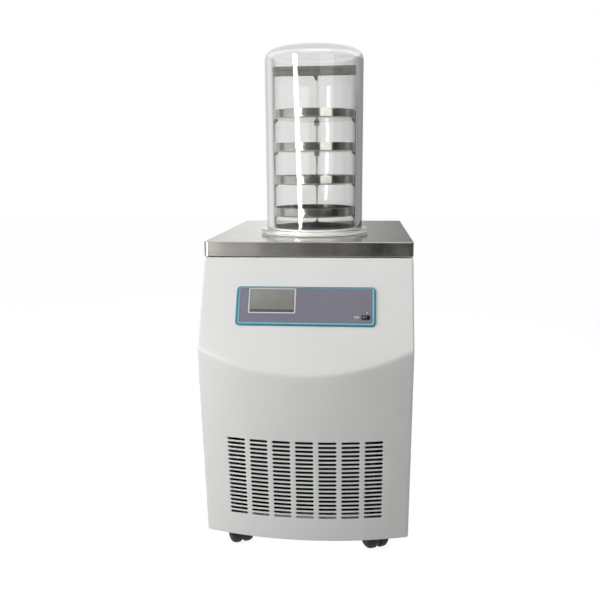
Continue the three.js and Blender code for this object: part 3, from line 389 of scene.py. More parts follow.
uneven(tread, 5, bump=0.03, tones=("#101011", "#1E1E1F"), rough=(0.48, 0.66))
copper = finish("copper tube", "#B8764F", 0.3, 1.0)
uneven(copper, 22, tones=("#9A5F3F", "#C78560"), rough=(0.24, 0.42))
foam = finish("moulded foam", "#D6CDA9", 0.9)
uneven(foam, 4, bump=0.3, tones=("#CBC19A", "#DFD7B5"))
board = finish("green circuit board", "#2F6B45", 0.4)
uneven(board, 6, tones=("#2A6240", "#37774D"), rough=(0.3, 0.5))

# %% [markdown]
# The condenser is a block of thin fins of aluminium in deep shade behind the slots. Its colour is
# painted shade: the bright metal is coloured near black. Single fins are too fine to show,
# so a wave pattern across its width draws them in bundles of painted light and shade: a
# little lighter at the edges, dark in between. A wave turns 20 times its scale in a metre.

# %% Finned block
fin_bundle = 7.54                  # millimetres from one bundle of fins to the next
fins = finish("aluminium fins in painted shade", "#8C8F92", 0.45, 0.6)
tree = fins.node_tree
where = add(tree, "ShaderNodeTexCoord")
wave = add(tree, "ShaderNodeTexWave", {"wave_type": "BANDS", "bands_direction": "X",
                                       "Scale": 1000 * 2 * math.pi / 20 / fin_bundle},
           {"Vector": where.outputs["Object"]})
ramp = add(tree, "ShaderNodeValToRGB", {}, {"Fac": wave.outputs["Fac"]})
# Both ends of the ramp are painted shade, near black; the lighter one paints light on the edges of
# each bundle.
ramp.color_ramp.elements[0].color = linear("#0A0A0B")
ramp.color_ramp.elements[1].color = linear("#232425")
tree.links.new(ramp.outputs["Color"], tree.nodes["Principled BSDF"].inputs["Base Color"])
print("finishes made:", len(bpy.data.materials))

# %% [markdown]
# The record names a finish for every node, so each node of the frame takes its material
# by that name. Nodes that get a finer surface later are hidden then.

# %% Every node gets its finish
finish_of = {
    "paint": off_white, "polished_steel": polished, "steel": satin, "zinc_steel": zinc,
    "clear_acrylic": acrylic, "silicone": silicone, "teal_plastic": teal,
    "violet_film": film, "screen": window, "lamp": lens, "black_plastic": black_plastic,
    "black_enamel": enamel, "copper": copper, "foam": foam, "circuit_board": board,
    "aluminium_fins": fins, "castor_tread": tread,
}
for node, slot in slot_of.items():
    mesh = frame["nodes"][node].data
    mesh.materials.clear()
    mesh.materials.append(finish_of[slot])
print(f"{len(finish_of)} finishes on {len(slot_of)} nodes")


# %% [markdown]
# A piece that stands for nodes of the frame moves with their body and replaces them, so
# one function says both. A folded or cast part whose shape is already right only lacks its
# round edges: its mesh is copied and merged, flat areas become single faces, and a bevel
# goes round every edge.

# %% Standing in for frame nodes
def stands_for(piece, *nodes):
    """The piece rides with the first node's body and replaces them all."""
    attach(piece, body_of[nodes[0]])
    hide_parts(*nodes)
    return piece


def softened(node, radius, name=None, steps=2):
    """A copy of a node's solid with every edge rounded by a radius in millimetres."""
    mesh = frame["nodes"][node].data.copy()
    work = bmesh.new()
    work.from_mesh(mesh)
    bmesh.ops.remove_doubles(work, verts=work.verts, dist=2e-6)
    bmesh.ops.dissolve_limit(work, angle_limit=math.radians(1.0), verts=work.verts,
                             edges=work.edges)
    work.to_mesh(mesh)
    work.free()
    mesh.shade_smooth()
    piece = bpy.data.objects.new(name or node + "_sheet", mesh)
    bpy.context.scene.collection.objects.link(piece)
    bevel = piece.modifiers.new("round edges", "BEVEL")
    bevel.width, bevel.segments = radius * 0.001, steps
    bevel.limit_method, bevel.angle_limit = "ANGLE", math.radians(32)
    bevel.harden_normals, bevel.use_clamp_overlap = True, True
    return stands_for(piece, node)


def follows(piece, body):
    """A detail that stands for no node of its own rides with a body."""
    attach(piece, body)
    return piece


# %% [markdown]
# ## The front moulding
# The front is one moulding: a flat facet that slopes forward from the worktop, and below
# it a lower front that leans back towards its foot and bulges in the middle. Where they
# meet, the edge is soft and sags in a wide curve. Two simple surfaces give both: the
# outside is whichever of them lies further back, and a smooth maximum rounds the crease.

# %% Surface of the front
facet_slope = 0.547                # forward run of the facet for each unit of drop
facet_angle = math.atan(facet_slope)
lower_foot = 49.0                  # foot of the sides ahead of the worktop's front edge
lower_lean = 0.0973667             # forward run of the lower front per unit of height
crown = 28.6                       # how far its middle bulges ahead of its sides
crease = 2.0                       # softness of the crease
foot, brow = box_mm("front_panel")[0][2], box_mm("front_panel")[1][2]


def front_y(x, z):
    """y of the moulding's face: the smooth maximum of facet and crowned lower front.

    max(a, b) = (a + b + |a - b|) / 2, and |d| is softened to sqrt(d^2 + crease^2).
    """
    facet = front_line - facet_slope * (facet_top - z)
    lower = (front_line - lower_foot - lower_lean * (z - foot)
             - crown * (1 - (x / edge) ** 2))
    return (facet + lower + np.sqrt((facet - lower) ** 2 + crease ** 2)) / 2


print(f"the middle reaches {front_line - front_y(0, 440):.0f} mm ahead of the worktop")

# %% [markdown]
# The grid's lines are laid so that each air slot has a cell of its own, eight columns by
# four rows. The cell is taken out and a ring of faces leads from its 24 edge points to
# the slot. At the sides the plan turns a tight corner and runs back to the side panels,
# and at the foot and the brow the sheet curls under and ends in a flange.

# %% Grid of the front
slot_columns, slot_rows = 7, 19
column_pitch, row_pitch = 43.4, 8.81
slot_foot = 52.7                   # lowest slot above the foot
slot_half, slot_end = 17.2, 2.5    # half a slot's length, and the radius of its ends
corner_radius, foot_radius, brow_radius = 4.0, 2.6, 3.6
field = slot_columns * column_pitch / 2
field_low = foot + slot_foot - row_pitch / 2
field_high = field_low + slot_rows * row_pitch
straight = edge - corner_radius

columns = np.concatenate([
    np.linspace(-straight, -field, 9)[:-1], np.linspace(-field, field, 8 * slot_columns + 1),
    np.linspace(field, straight, 9)[1:]])
levels = np.concatenate([
    np.linspace(foot + foot_radius, field_low, 13)[:-1],
    np.linspace(field_low, field_high, 4 * slot_rows + 1),
    np.linspace(field_high, brow - brow_radius, 122)[1:]])


def plan_rows(z):
    """Plan of the moulding at each height z: side, corner, front, corner, side.

    The front leaves the straight part at the angle a of its own slope there. The corner
    is an arc from a to a right angle whose radius is corner / (1 - sin a), so that it
    always ends on the side wall.
    """
    z = np.asarray(z, float)[:, None]
    middle = np.stack([columns + 0 * z, front_y(columns, z), z + 0 * columns], -1)
    slope = (front_y(straight, z) - front_y(straight - 0.5, z)) / 0.5
    a = np.arctan(slope)
    turn = a + (math.pi / 2 - a) * np.linspace(0, 1, 7)[1:]
    radius = corner_radius / (1 - np.sin(a))
    corner_x = straight + radius * (np.sin(turn) - np.sin(a))
    corner_y = front_y(straight, z) + radius * (np.cos(a) - np.cos(turn))
    back = front_line + 20.0
    side_y = corner_y[:, -1:] + (back - corner_y[:, -1:]) * np.linspace(0, 1, 9)[1:]
    right_x = np.concatenate([corner_x, edge + 0 * side_y], 1)
    right_y = np.concatenate([corner_y, side_y], 1)
    right = np.stack([right_x, right_y, z + 0 * right_x], -1)
    left = right[:, ::-1] * (-1, 1, 1)
    return np.concatenate([left, middle, right], 1)


def curled(row, radius, flange, end, sense):
    """Rows that curl a plan inwards by a quarter turn and run on as a flat flange.

    Each point moves inwards by radius (1 - cos t) and towards the end by radius sin t.
    """
    along = np.gradient(row[:, :2], axis=0)
    along /= np.linalg.norm(along, axis=1, keepdims=True)
    inward = np.stack([-along[:, 1], along[:, 0]], -1)
    turn = np.radians(np.linspace(0, 90, 6)[1:])
    inset = np.concatenate([radius * (1 - np.cos(turn)), [flange]])
    height = np.concatenate([end + sense * radius * (1 - np.sin(turn)), [end]])
    rows = np.repeat(row[None], len(inset), 0)
    rows[:, :, :2] += inset[:, None, None] * inward
    rows[:, :, 2] = height[:, None]
    return rows


main = plan_rows(levels)
under = curled(main[0], foot_radius, 17.5, foot, 1)[::-1]
over = curled(main[-1], brow_radius, 9.0, brow, -1)
sheet = np.concatenate([under, main, over])
rows, across = sheet.shape[:2]
print(f"front grid of {rows} x {across} points")

# %% Slots and openings in the front
first_row, first_column = len(under) + 12, 14 + 8
cell_i = first_row + 4 * np.arange(slot_rows)
cell_j = first_column + 8 * np.arange(slot_columns)
round_i = np.array([0] * 9 + [1, 2, 3] + [4] * 9 + [3, 2, 1])
round_j = np.array(list(range(9)) + [8] * 3 + list(range(8, -1, -1)) + [0] * 3)
base = (cell_i[:, None, None] + round_i) * across + cell_j[None, :, None] + round_j
base = base.reshape(-1, 24)


def slot_ring(radius):
    """24 points of a slot with round ends, in step with the 24 edge points of its cell."""
    reach = slot_half - slot_end
    ends = np.radians([-45, -22.5, 0, 22.5, 45])
    right = np.stack([reach + radius * np.cos(ends), radius * np.sin(ends)], -1)
    run = np.linspace(-reach, reach, 7)
    low = np.stack([run, -radius + 0 * run], -1)
    ring = np.concatenate([(-right[4:5] * (1, 1)), low, right, low[::-1] * (1, -1),
                           right[::-1][:4] * (-1, 1)])
    return ring


centre_z = sheet[cell_i + 2, 0, 2]
centre_x = (np.arange(slot_columns) - (slot_columns - 1) / 2) * column_pitch
spots = np.stack(np.meshgrid(centre_z, centre_x, indexing="ij"), -1).reshape(-1, 2)
rings, depths = [], (0.0, 0.15, 0.8)
for radius, depth in zip((slot_end + 0.7, slot_end + 0.25, slot_end), depths):
    outline = slot_ring(radius)
    x = spots[:, 1, None] + outline[:, 0]
    z = spots[:, 0, None] + outline[:, 1]
    rings.append(np.stack([x, front_y(x, z) + depth, z], -1))
start = rows * across
numbers = [base] + [start + k * base.size + np.arange(base.size).reshape(base.shape)
                    for k in range(len(rings))]
lip = np.concatenate([np.stack([a, np.roll(a, -1, 1), np.roll(b, -1, 1), b], -1).reshape(-1, 4)
                      for a, b in zip(numbers[:-1], numbers[1:])])

quads = grid_faces(rows, across)
quad_i, quad_j = np.divmod(np.arange(len(quads)), across - 1)
in_field = ((quad_i >= first_row) & (quad_i < first_row + 4 * slot_rows)
            & (quad_j >= first_column) & (quad_j < first_column + 8 * slot_columns))
flat = sheet.reshape(-1, 3)
down = (facet_top - flat[:, 2]) / math.cos(facet_angle)     # distance down the facet
middle_x, middle_down = flat[quads, 0].mean(1), down[quads].mean(1)
on_facet = flat[quads, 1].max(1) < front_line
screen_hole = ((np.abs(middle_x + 63) < 43) & (np.abs(middle_down - 88.5) < 24) & on_facet)
touched = ((np.abs(flat[:, 0] - 112) < 8) & (np.abs(down - 116) < 7.5))[quads].any(1) & on_facet
quads = quads[~(in_field | screen_hole | touched)]
front = mesh_object("front_moulding", (
    np.concatenate([flat] + [ring.reshape(-1, 3) for ring in rings]),
    np.concatenate([quads, lip])), off_white, sharp=40, outward=False, even=False)
wall = front.modifiers.new("sheet thickness", "SOLIDIFY")
wall.thickness, wall.offset, wall.use_even_offset = 0.0018, -1.0, True
stands_for(front, "front_panel")
print(f"{len(base)} slots, {len(front.data.polygons)} faces")

# %% [markdown]
# ## Cabinet and worktop
# The worktop is one sheet of stainless steel folded down on four sides. Its folds have an
# inside radius of about the sheet's own thickness, and that narrow round is what catches
# the light along the front. Rings of points lead from the hole over the cold trap to the
# edge, over the fold and down the skirt, and Solidify gives the sheet its thickness.

# %% Worktop
top_low, top_high = box_mm("worktop")
fold = 2.0
corner_round = 8.0


def inset_outline(distance):
    """The worktop's outline moved inwards, with 12 steps in each corner."""
    corner = rectangle(top_low[0] + distance, top_high[0] - distance,
                       top_low[1] + distance, top_high[1] - distance)
    sides = rounded(corner, corner_round - distance, 8)
    return np.concatenate([sides[k] + (sides[(k + 1) % len(sides)] - sides[k])
                           * np.linspace(0, 1, 9)[:-1, None] for k in range(len(sides))])


outer = inset_outline(0)
level = inset_outline(fold)
direction = level - (0, chamber_y)
direction /= np.linalg.norm(direction, axis=1, keepdims=True)
hole = np.array([0, chamber_y]) + direction * 80.2
rings = [np.column_stack([hole + (level - hole) * share, np.full(len(hole), top_high[2])])
         for share in (0, 0.02, 0.2, 0.5, 0.8, 0.99, 1)]
for turn in np.radians([15, 30, 45, 60, 75, 90]):
    inset = fold * (1 - math.sin(turn))
    rings.append(np.column_stack([inset_outline(inset), np.full(
        len(outer), top_high[2] - fold * (1 - math.cos(turn)))]))
for height in (top_high[2] - 15, top_low[2] + 0.8, top_low[2]):
    rings.append(np.column_stack([outer, np.full(len(outer), height)]))
worktop = mesh_object("worktop_folded", (
    np.concatenate(rings), grid_faces(len(rings), len(outer), wrap=True)), polished,
    sharp=50, outward=False, even=False)
skin = worktop.modifiers.new("sheet thickness", "SOLIDIFY")
skin.thickness, skin.offset, skin.use_even_offset = 0.0015, 1.0, True
worktop.modifiers.new("even shading", "WEIGHTED_NORMAL").keep_sharp = True
stands_for(worktop, "worktop")
print("worktop", [round(v, 4) for v in worktop.dimensions])

# %% [markdown]
# The sides and the back are plain folded panels, held by small pan-head screws.

# %% Side and rear panels
for node, radius in (("left_side_panel", 1.2), ("right_side_panel", 1.2), ("rear_panel", 0.5),
                     ("base_pan", 0.8)):
    softened(node, radius)


def screw_head(radius=3.6, rise=1.5):
    """A pan head with a cross recess drawn as a dimple: a profile turned about z."""
    dome = arc((radius - rise, 0), rise, 0, 80, 5)
    profile = np.concatenate([[(0, 0)], dome, [(1.3, rise), (0.7, rise - 0.7), (0, rise - 0.7)]])
    return revolved(profile, 20, closed=False)


rear_y = box_mm("rear_panel")[1][1]
screw_x, screw_z = 184, (98, 356, 614)
heads = []
for x in (-screw_x, 0, screw_x):
    for z in screw_z if x else screw_z[::2]:
        heads.append(placed(screw_head(), (x, rear_y, z), (1, 0, 0), (0, 0, -1), (0, 1, 0)))
follows(mesh_object("rear_panel_screws", joined(*heads), zinc, sharp=50),
        "cabinet")
print(len(heads), "screws")

# %% [markdown]
# ## Drying chamber
# A silicone ring seals the jar to the worktop. The jar is a thick acrylic tube with a
# domed end and a flange at its foot. It is one closed skin, outside and inside, because
# the light has to bend at both faces of the wall. The dome is a shallow ball cap that
# meets the tube in a tight knuckle, so the profile is two arcs that share a tangent.

# %% Seal ring and bell jar
seal_low, seal_high = box_mm("seal_ring")
seal_bore, collar, lip_height = 81.5, 90.3, seal_low[2] + 2.5
seal_profile = rounded([
    (seal_bore, seal_low[2]), (seal_high[0], seal_low[2]), (seal_high[0], lip_height),
    (collar, lip_height), (collar, seal_high[2]), (seal_bore, seal_high[2])],
    [0.4, 0.8, 0.8, 0.8, 1.0, 0.6], 3)
stands_for(mesh_object("seal_ring_moulded", placed(revolved(seal_profile), (0, chamber_y, 0)),
                       silicone), "seal_ring")
jar_low, jar_high = box_mm("bell_jar")
jar_radius, jar_wall = 103.0, 12.0
knuckle, rise = 22.0, 33.0
crown_radius = ((jar_radius - knuckle) ** 2 - knuckle ** 2 + rise ** 2) / (2 * (rise - knuckle))
meet = math.degrees(math.acos((jar_radius - knuckle) / (crown_radius - knuckle)))


def dome(inset):
    """Knuckle and cap from the wall to the axis: the arcs meet where their centres line up."""
    turn = arc((jar_radius - knuckle, jar_high[2] - rise), knuckle - inset, 0, meet, 14)
    cap = arc((0, jar_high[2] - crown_radius), crown_radius - inset, meet, 90, 18)[1:]
    cap[-1, 0] = 0
    return np.concatenate([turn, cap])


flange_top, flange_radius, soft, fillet = jar_low[2] + 7.0, 115.5, 1.2, 2.0
outside = np.concatenate([
    arc((flange_radius - soft, jar_low[2] + soft), soft, -90, 0, 4),
    arc((flange_radius - soft, flange_top - soft), soft, 0, 90, 4),
    arc((jar_radius + fillet, flange_top + fillet), fillet, 270, 180, 4), dome(0)])
inside = dome(jar_wall)[::-1]
inside = np.concatenate([inside, [(jar_radius - jar_wall, jar_low[2] + 0.5),
                                  (jar_radius - jar_wall + 0.5, jar_low[2])]])
jar = mesh_object("bell_jar_cast", placed(revolved(np.concatenate([outside, inside]), 192),
                                          (0, chamber_y, 0)), acrylic)
stands_for(jar, "bell_jar")
print(f"dome radius {crown_radius:.0f} mm, knuckle to {meet:.1f} degrees")

# %% [markdown]
# The rack stands on a drilled disc. Each tray is a pressed dish: its corner is round and
# its rim is cut square and broken with a file. Three strips with lugs carry the trays,
# and a bar joins them at the top.

# %% Tray rack
disc_low, disc_high = box_mm("rack_base_disc")
disc_radius, hole_radius = 86.0, 7.0
holes = [circle(hole_radius, 24, spot) for ring, count in ((0, 1), (28, 6), (56, 10))
         for spot in circle(ring, count)]
disc = mesh_object("rack_disc_drilled", placed(
    plate([circle(disc_radius, 120)] + holes, disc_high[2] - disc_low[2], 0.3),
    (0, chamber_y, disc_low[2])), drilled)
stands_for(disc, "rack_base_disc")

for number in range(1, 5):
    low, high = box_mm(f"tray_{number}")
    r, z0, z1 = high[0], low[2], high[2]
    dish = np.concatenate([
        [(0, z0)], arc((r - 3, z0 + 3), 3, -90, 0, 6), arc((r - 0.4, z1 - 0.4), 0.4, 0, 90, 3),
        arc((r - 0.6, z1 - 0.4), 0.4, 90, 180, 3), arc((r - 3, z0 + 3), 2, 0, -90, 6),
        [(0, z0 + 1)]])
    tray = mesh_object(f"tray_{number}_pressed", placed(revolved(dish, 128, closed=False),
                                                        (0, chamber_y, 0)), bright, sharp=50)
    stands_for(tray, f"tray_{number}")
# The disc and the lugs are coloured dark as painted shade under the trays, and the top bar takes
# the same dark steel.
softened("rack_top_bar", 0.35).data.materials[0] = drilled
for node in ("rack_upright_back", "rack_upright_left", "rack_upright_right"):
    strip = softened(node, 0.35)
    strip.data.materials[0] = blasted
    strip.data.materials.append(drilled)
    middles = np.empty(3 * len(strip.data.polygons))
    strip.data.polygons.foreach_get("center", middles)
    middles = middles.reshape(-1, 3)[:, :2] * 1000 - (0, chamber_y)
    inward = np.hypot(*middles.T)
    # Faces more than 4 mm inward of a strip's outer face are its lugs, and they get the dark steel
    # as painted shade.
    strip.data.polygons.foreach_set("material_index", (
        inward < inward.max() - 4.0).astype(np.int32))
print(len(holes), "holes in the disc")

# %% [markdown]
# ## Control panel
# The panel lies on the sloping facet. Its places are easiest to give as they are on the
# drawing: x across, and a distance down the facet from its top edge, so one helper lays
# a flat shape on the facet at a height above it.

# %% Laying shapes on the facet
up_facet = np.array([0, math.sin(facet_angle), math.cos(facet_angle)])
off_facet = np.array([0, -math.cos(facet_angle), math.sin(facet_angle)])
facet_origin = np.array([0, front_line, facet_top])


def on_facet_plane(shape, rise=0.0):
    """A shape drawn with y down the facet and z out of it, laid on the facet."""
    points, faces = shape
    return placed((points * (1, -1, 1), faces), facet_origin + off_facet * rise,
                  (1, 0, 0), up_facet, off_facet)


print(f"the facet leans back by {math.degrees(facet_angle):.1f} degrees")

# %% [markdown]
# The surround is a moulded frame with a flat teal face and a narrow pale blue step inside
# it. Rings run between its outer and inner outline, and each has a height.

# %% Surround, film and window
outer_edge = rounded(rectangle(-130.5, 130.5, 61.5, 137.5), 7.5, 8)
inner_edge = rounded(rectangle(-124.5, 124.5, 64.1, 131.5), 1.5, 8)
section = [(0, 0.3), (0, 1.9), (0.06, 2.35), (0.14, 2.5), (0.5, 2.5), (0.56, 2.3),
           (0.6, 2.0), (0.94, 1.9), (1.0, 1.8), (1.0, 0.3)]
rings = [np.column_stack([outer_edge + (inner_edge - outer_edge) * share,
                          np.full(len(outer_edge), height)]) for share, height in section]
rings.append(rings[0])
surround = mesh_object("control_surround_moulded", on_facet_plane((
    np.concatenate(rings), grid_faces(len(rings), len(outer_edge), wrap=True))), teal, sharp=50)
surround.data.materials.append(pale_blue)
ring_of = np.repeat(np.arange(len(rings) - 1), len(outer_edge))
surround.data.polygons.foreach_set("material_index", (
    (ring_of >= 5) & (ring_of <= 8)).astype(np.int32))
stands_for(surround, "control_surround")

screen_cut = rounded(rectangle(-105, -21, 65.5, 111.5), 0.8, 3)
switch_cut = rounded(rectangle(105.2, 118.8, 116.6, 123.4), 0.6, 3)
lamp_cut = circle(1.9, 20, (115, 110.5))
film_edge = rounded(rectangle(-124.2, 124.2, 64.4, 131.2), 1.4, 5)
film_under, film_top, window_top = 0.3, 1.8, 1.2      # heights above the facet
film_sheet = mesh_object("control_film", on_facet_plane(
    plate([film_edge, screen_cut, switch_cut, lamp_cut], film_top - film_under, 0.15),
    film_under), film)
stands_for(film_sheet, "control_membrane")
softened("screen_glass", 0.3, "screen_window")
outline = mesh_object("screen_print", on_facet_plane(plate(
    [rounded(rectangle(-107.4, -18.6, 65.0, 113.6), 2.0, 4),
     rounded(rectangle(-105.2, -20.8, 66.6, 111.7), 0.8, 3)], 0.12), film_top), print_white)
follows(outline, "cabinet")
# A dark strip along the lower edge of the window is painted shadow: the shade in the recessed
# window, printed in dark ink.
shade = mesh_object("screen_painted_shadow_line", on_facet_plane(plate(
    [rectangle(-104, -22, 106.0, 110.8)], 0.1), window_top + 0.01), print_dark)
follows(shade, "cabinet")
print(len(surround.data.polygons), "faces in the surround")

# %% [markdown]
# The switch is a small black rocker in a rimmed body, with a lamp above it. A generic ON
# is printed beside it, and O and I on the rocker. Letters start as a text curve, which
# is turned into a mesh before it is laid on the facet or on the tilted rocker.

# %% Switch, lamp and print
softened("switch_housing", 0.25)
softened("switch_rocker", 0.3)
lamp_dome = revolved(np.concatenate([[(0, 0)], [(1.5, 0)], arc((0, 2.0), 1.5, 0, 90, 6)]), 24,
                     closed=False)
stands_for(mesh_object("lamp_lens", on_facet_plane(
    placed(lamp_dome, (115, 110.5, -2.0)), 0.85), lens), "power_lamp")


def words(text, height, middle_x, down, rise=1.86, lean=0.0):
    """Bold text as a thin mesh, its middle at (x, distance down the facet).

    It lies `rise` millimetres off the facet, and each millimetre to the right lifts it by
    `lean` more.
    """
    curve = bpy.data.curves.new(text, "FONT")
    curve.body, curve.size, curve.extrude = text, height * 1.4, 0.04
    curve.offset = height * 0.055
    curve.align_x, curve.align_y = "CENTER", "CENTER"
    points, faces = filled(curve)
    points = points * (1, -1, 1) + (middle_x, down, 0)
    points[:, 2] += (points[:, 0] - middle_x) * lean
    return on_facet_plane((points, faces), rise)


label = mesh_object("switch_words", words("ON", 4.2, 95.2, 119.8), print_white)
follows(label, "cabinet")
for sign, middle_x, rise, lean in (("O", 108.7, 3.16, 0.0), ("I", 113.2, 3.79, 0.287)):
    follows(mesh_object("rocker_mark_" + sign, words(sign, 2.4, middle_x, 120, rise, lean),
                        print_white), body_of["switch_rocker"])
print(len(label.data.polygons), "faces in the word beside the switch")

# %% [markdown]
# ## Castors
# Each castor has two wheels under a curved hood, and the hood's round boss turns on a pin
# under the base. Wheels and hood are worked out once with the swivel axis at the origin
# and the wheels trailing along +x, then turned to their heading and set in place.

# %% Castor shapes
heading = math.radians(112)
trail, wheel_r, wheel_half, wheel_gap = 21.5, 30.0, 25.0, 4.3
plate_under = box_mm("caster_plate_front_left")[0][2]
upright = dict(x=(1, 0, 0), y=(0, 0, 1), z=(0, -1, 0))        # drawn in xz, thick along y


def wheel_pair():
    """Two wheels with a moulded tread, a dished side and a hub, on one axle."""
    side = np.concatenate([
        [(4, wheel_gap)], arc((wheel_r - 1.2, wheel_gap + 1.2), 1.2, -90, 0, 4),
        arc((wheel_r - 12.5, wheel_half - 12.5), 12.5, 0, 90, 12),
        [(16.7, wheel_half - 1.8), (10.5, wheel_half - 1.8)],
        arc((7.5, wheel_half - 2), 2, 0, 90, 4), [(0, wheel_half)]])
    one = revolved(np.concatenate([side, [(0, wheel_gap + 1), (4, wheel_gap + 1)]]), 64)
    other = (one[0] * (1, 1, -1), one[1])
    axle = revolved([(0, -wheel_gap - 2), (4, -wheel_gap - 2), (4, wheel_gap + 2),
                     (0, wheel_gap + 2)], 24)
    return placed(joined(one, other, axle), (trail, 0, wheel_r), **upright)


def hood():
    """A curved shell over both wheels, a web between them and a boss round the pin."""
    inner, outer = 31.8, 34.8
    wheel = (trail, wheel_r)
    shell = np.concatenate([arc(wheel, outer, 18, 176, 36), arc(wheel, inner, 176, 18, 36)])
    web = np.concatenate([arc(wheel, inner + 1, 18, 176, 24), arc(wheel, 27, 188, 366, 24)])
    neck = np.concatenate([[(13, 66), (-13, 66)], arc(wheel, outer - 1, 166, 106, 12)])
    boss = revolved(rounded([(0, 62), (13, 62), (13, plate_under - 0.4), (0, plate_under - 0.4)],
                            [0.01, 0.01, 1.2, 0.01], 3), 48)
    pin = revolved([(0, 80), (6, 80), (6, plate_under + 2.6), (0, plate_under + 2.6)], 32)
    thin = 2 * (wheel_gap - 0.6)
    axle_hole = circle(4.3, 24, wheel)
    return joined(
        placed(plate([shell], 52, 1.2), (0, 26, 0), **upright),
        placed(plate([web, axle_hole], thin, 0.3), (0, thin / 2, 0), **upright),
        placed(plate([neck], 26, 4.0, 4), (0, 13, 0), **upright), boss, pin)


turned_axes = dict(x=(math.cos(heading), math.sin(heading), 0),
                   y=(-math.sin(heading), math.cos(heading), 0))
wheels_shape, hood_shape = wheel_pair(), hood()
for place in ("front_left", "front_right", "rear_left", "rear_right"):
    low, high = box_mm("caster_plate_" + place)
    spot = ((low[0] + high[0]) / 2, (low[1] + high[1]) / 2, 0)
    wheels = mesh_object(f"castor_wheels_{place}", placed(wheels_shape, spot, **turned_axes),
                         tread, sharp=40)
    stands_for(wheels, "caster_wheels_" + place)
    cover = mesh_object(f"castor_hood_{place}", placed(hood_shape, spot, **turned_axes),
                        black_plastic, sharp=40)
    stands_for(cover, "caster_hood_" + place)
    softened("caster_plate_" + place, 0.5)
print(f"wheels of {2 * wheel_r:.0f} mm, plate at {plate_under:.1f} mm")

# %% [markdown]
# ## Rear fittings
# The vacuum pipe is a turned tube with a welded flange. The inlet, the drain cock and its
# lever only need their edges rounded.

# %% Rear fittings
pipe_low, pipe_high = box_mm("vacuum_pipe")
pipe_z = (pipe_low[2] + pipe_high[2]) / 2
pipe_start, pipe_end = chamber_y + 83.0, pipe_high[1]
pipe_profile = rounded([
    (10.7, pipe_start), (12.7, pipe_start), (12.7, pipe_end - 4), (20, pipe_end - 4),
    (20, pipe_end), (10.7, pipe_end)], [0.3, 0.3, 1.5, 0.6, 0.6, 0.5], 4)
pipe = mesh_object("vacuum_pipe_turned", placed(
    revolved(pipe_profile, 72), (0, 0, pipe_z), (1, 0, 0), (0, 0, -1), (0, 1, 0)), satin)
stands_for(pipe, "vacuum_pipe")
for node, radius in (("power_inlet", 0.6), ("drain_cock_body", 0.6), ("drain_cock_lever", 0.8)):
    softened(node, radius)
print(f"vacuum port at {pipe_z:.0f} mm")

# %% [markdown]
# ## Camera
# The camera stands a little to the right of the middle, just above the worktop, and looks
# down by eleven degrees. Its axes are worked out from its heading, tilt and roll.

# %% Camera
yaw, pitch, roll = -0.0923, 0.1974, 0.0071                 # radians
stand = (0.10414, -1.48858, 0.80497)                       # metres
ahead = Vector((math.sin(yaw) * math.cos(pitch), math.cos(yaw) * math.cos(pitch),
                -math.sin(pitch)))
level_right = Vector((math.cos(yaw), -math.sin(yaw), 0))
level_down = ahead.cross(level_right)
right = math.cos(roll) * level_right + math.sin(roll) * level_down
down = math.cos(roll) * level_down - math.sin(roll) * level_right
lens_data = bpy.data.cameras.new("camera")
lens_data.sensor_width, lens_data.lens = 36.0, 40.725
camera = bpy.data.objects.new("camera", lens_data)
camera.matrix_world = Matrix((
    *((right[k], -down[k], -ahead[k], stand[k]) for k in range(3)), (0, 0, 0, 1)))
bpy.context.scene.collection.objects.link(camera)
bpy.context.scene.camera = camera
print("camera at", [round(v, 3) for v in camera.matrix_world.translation])

# %% [markdown]
# ## Light and surroundings
# The object stands in a white studio. A large soft lamp on the left does most of the
# work, and a tall narrow one to the left of the camera draws the bright upright line on
# the jar. Polished metal shows its surroundings, so dark cards stand where a studio has
# its dark side; they show in reflections only. The floor is pale and keeps the shadow.

# %% Studio
def bearing(degrees, distance, height):
    """A point at a bearing round the chamber: 0 is towards -y and 90 towards +x."""
    angle = math.radians(degrees)
    return Vector((math.sin(angle) * distance, chamber_y / 1000 - math.cos(angle) * distance,
                   height))


def soft_lamp(name, degrees, distance, height, wide, tall, watts, aim=0.55, tint="#FFFFFF"):
    """A rectangular lamp at a bearing, turned towards the middle of the object."""
    data = bpy.data.lights.new(name, "AREA")
    data.shape, data.size, data.size_y, data.energy = "RECTANGLE", wide, tall, watts
    data.color = linear(tint)[:3]
    lamp = bpy.data.objects.new(name, data)
    lamp.location = bearing(degrees, distance, height)
    gaze = Vector((0, 0, aim)) - lamp.location
    lamp.rotation_euler = gaze.to_track_quat("-Z", "Y").to_euler()
    bpy.context.scene.collection.objects.link(lamp)
    return lamp


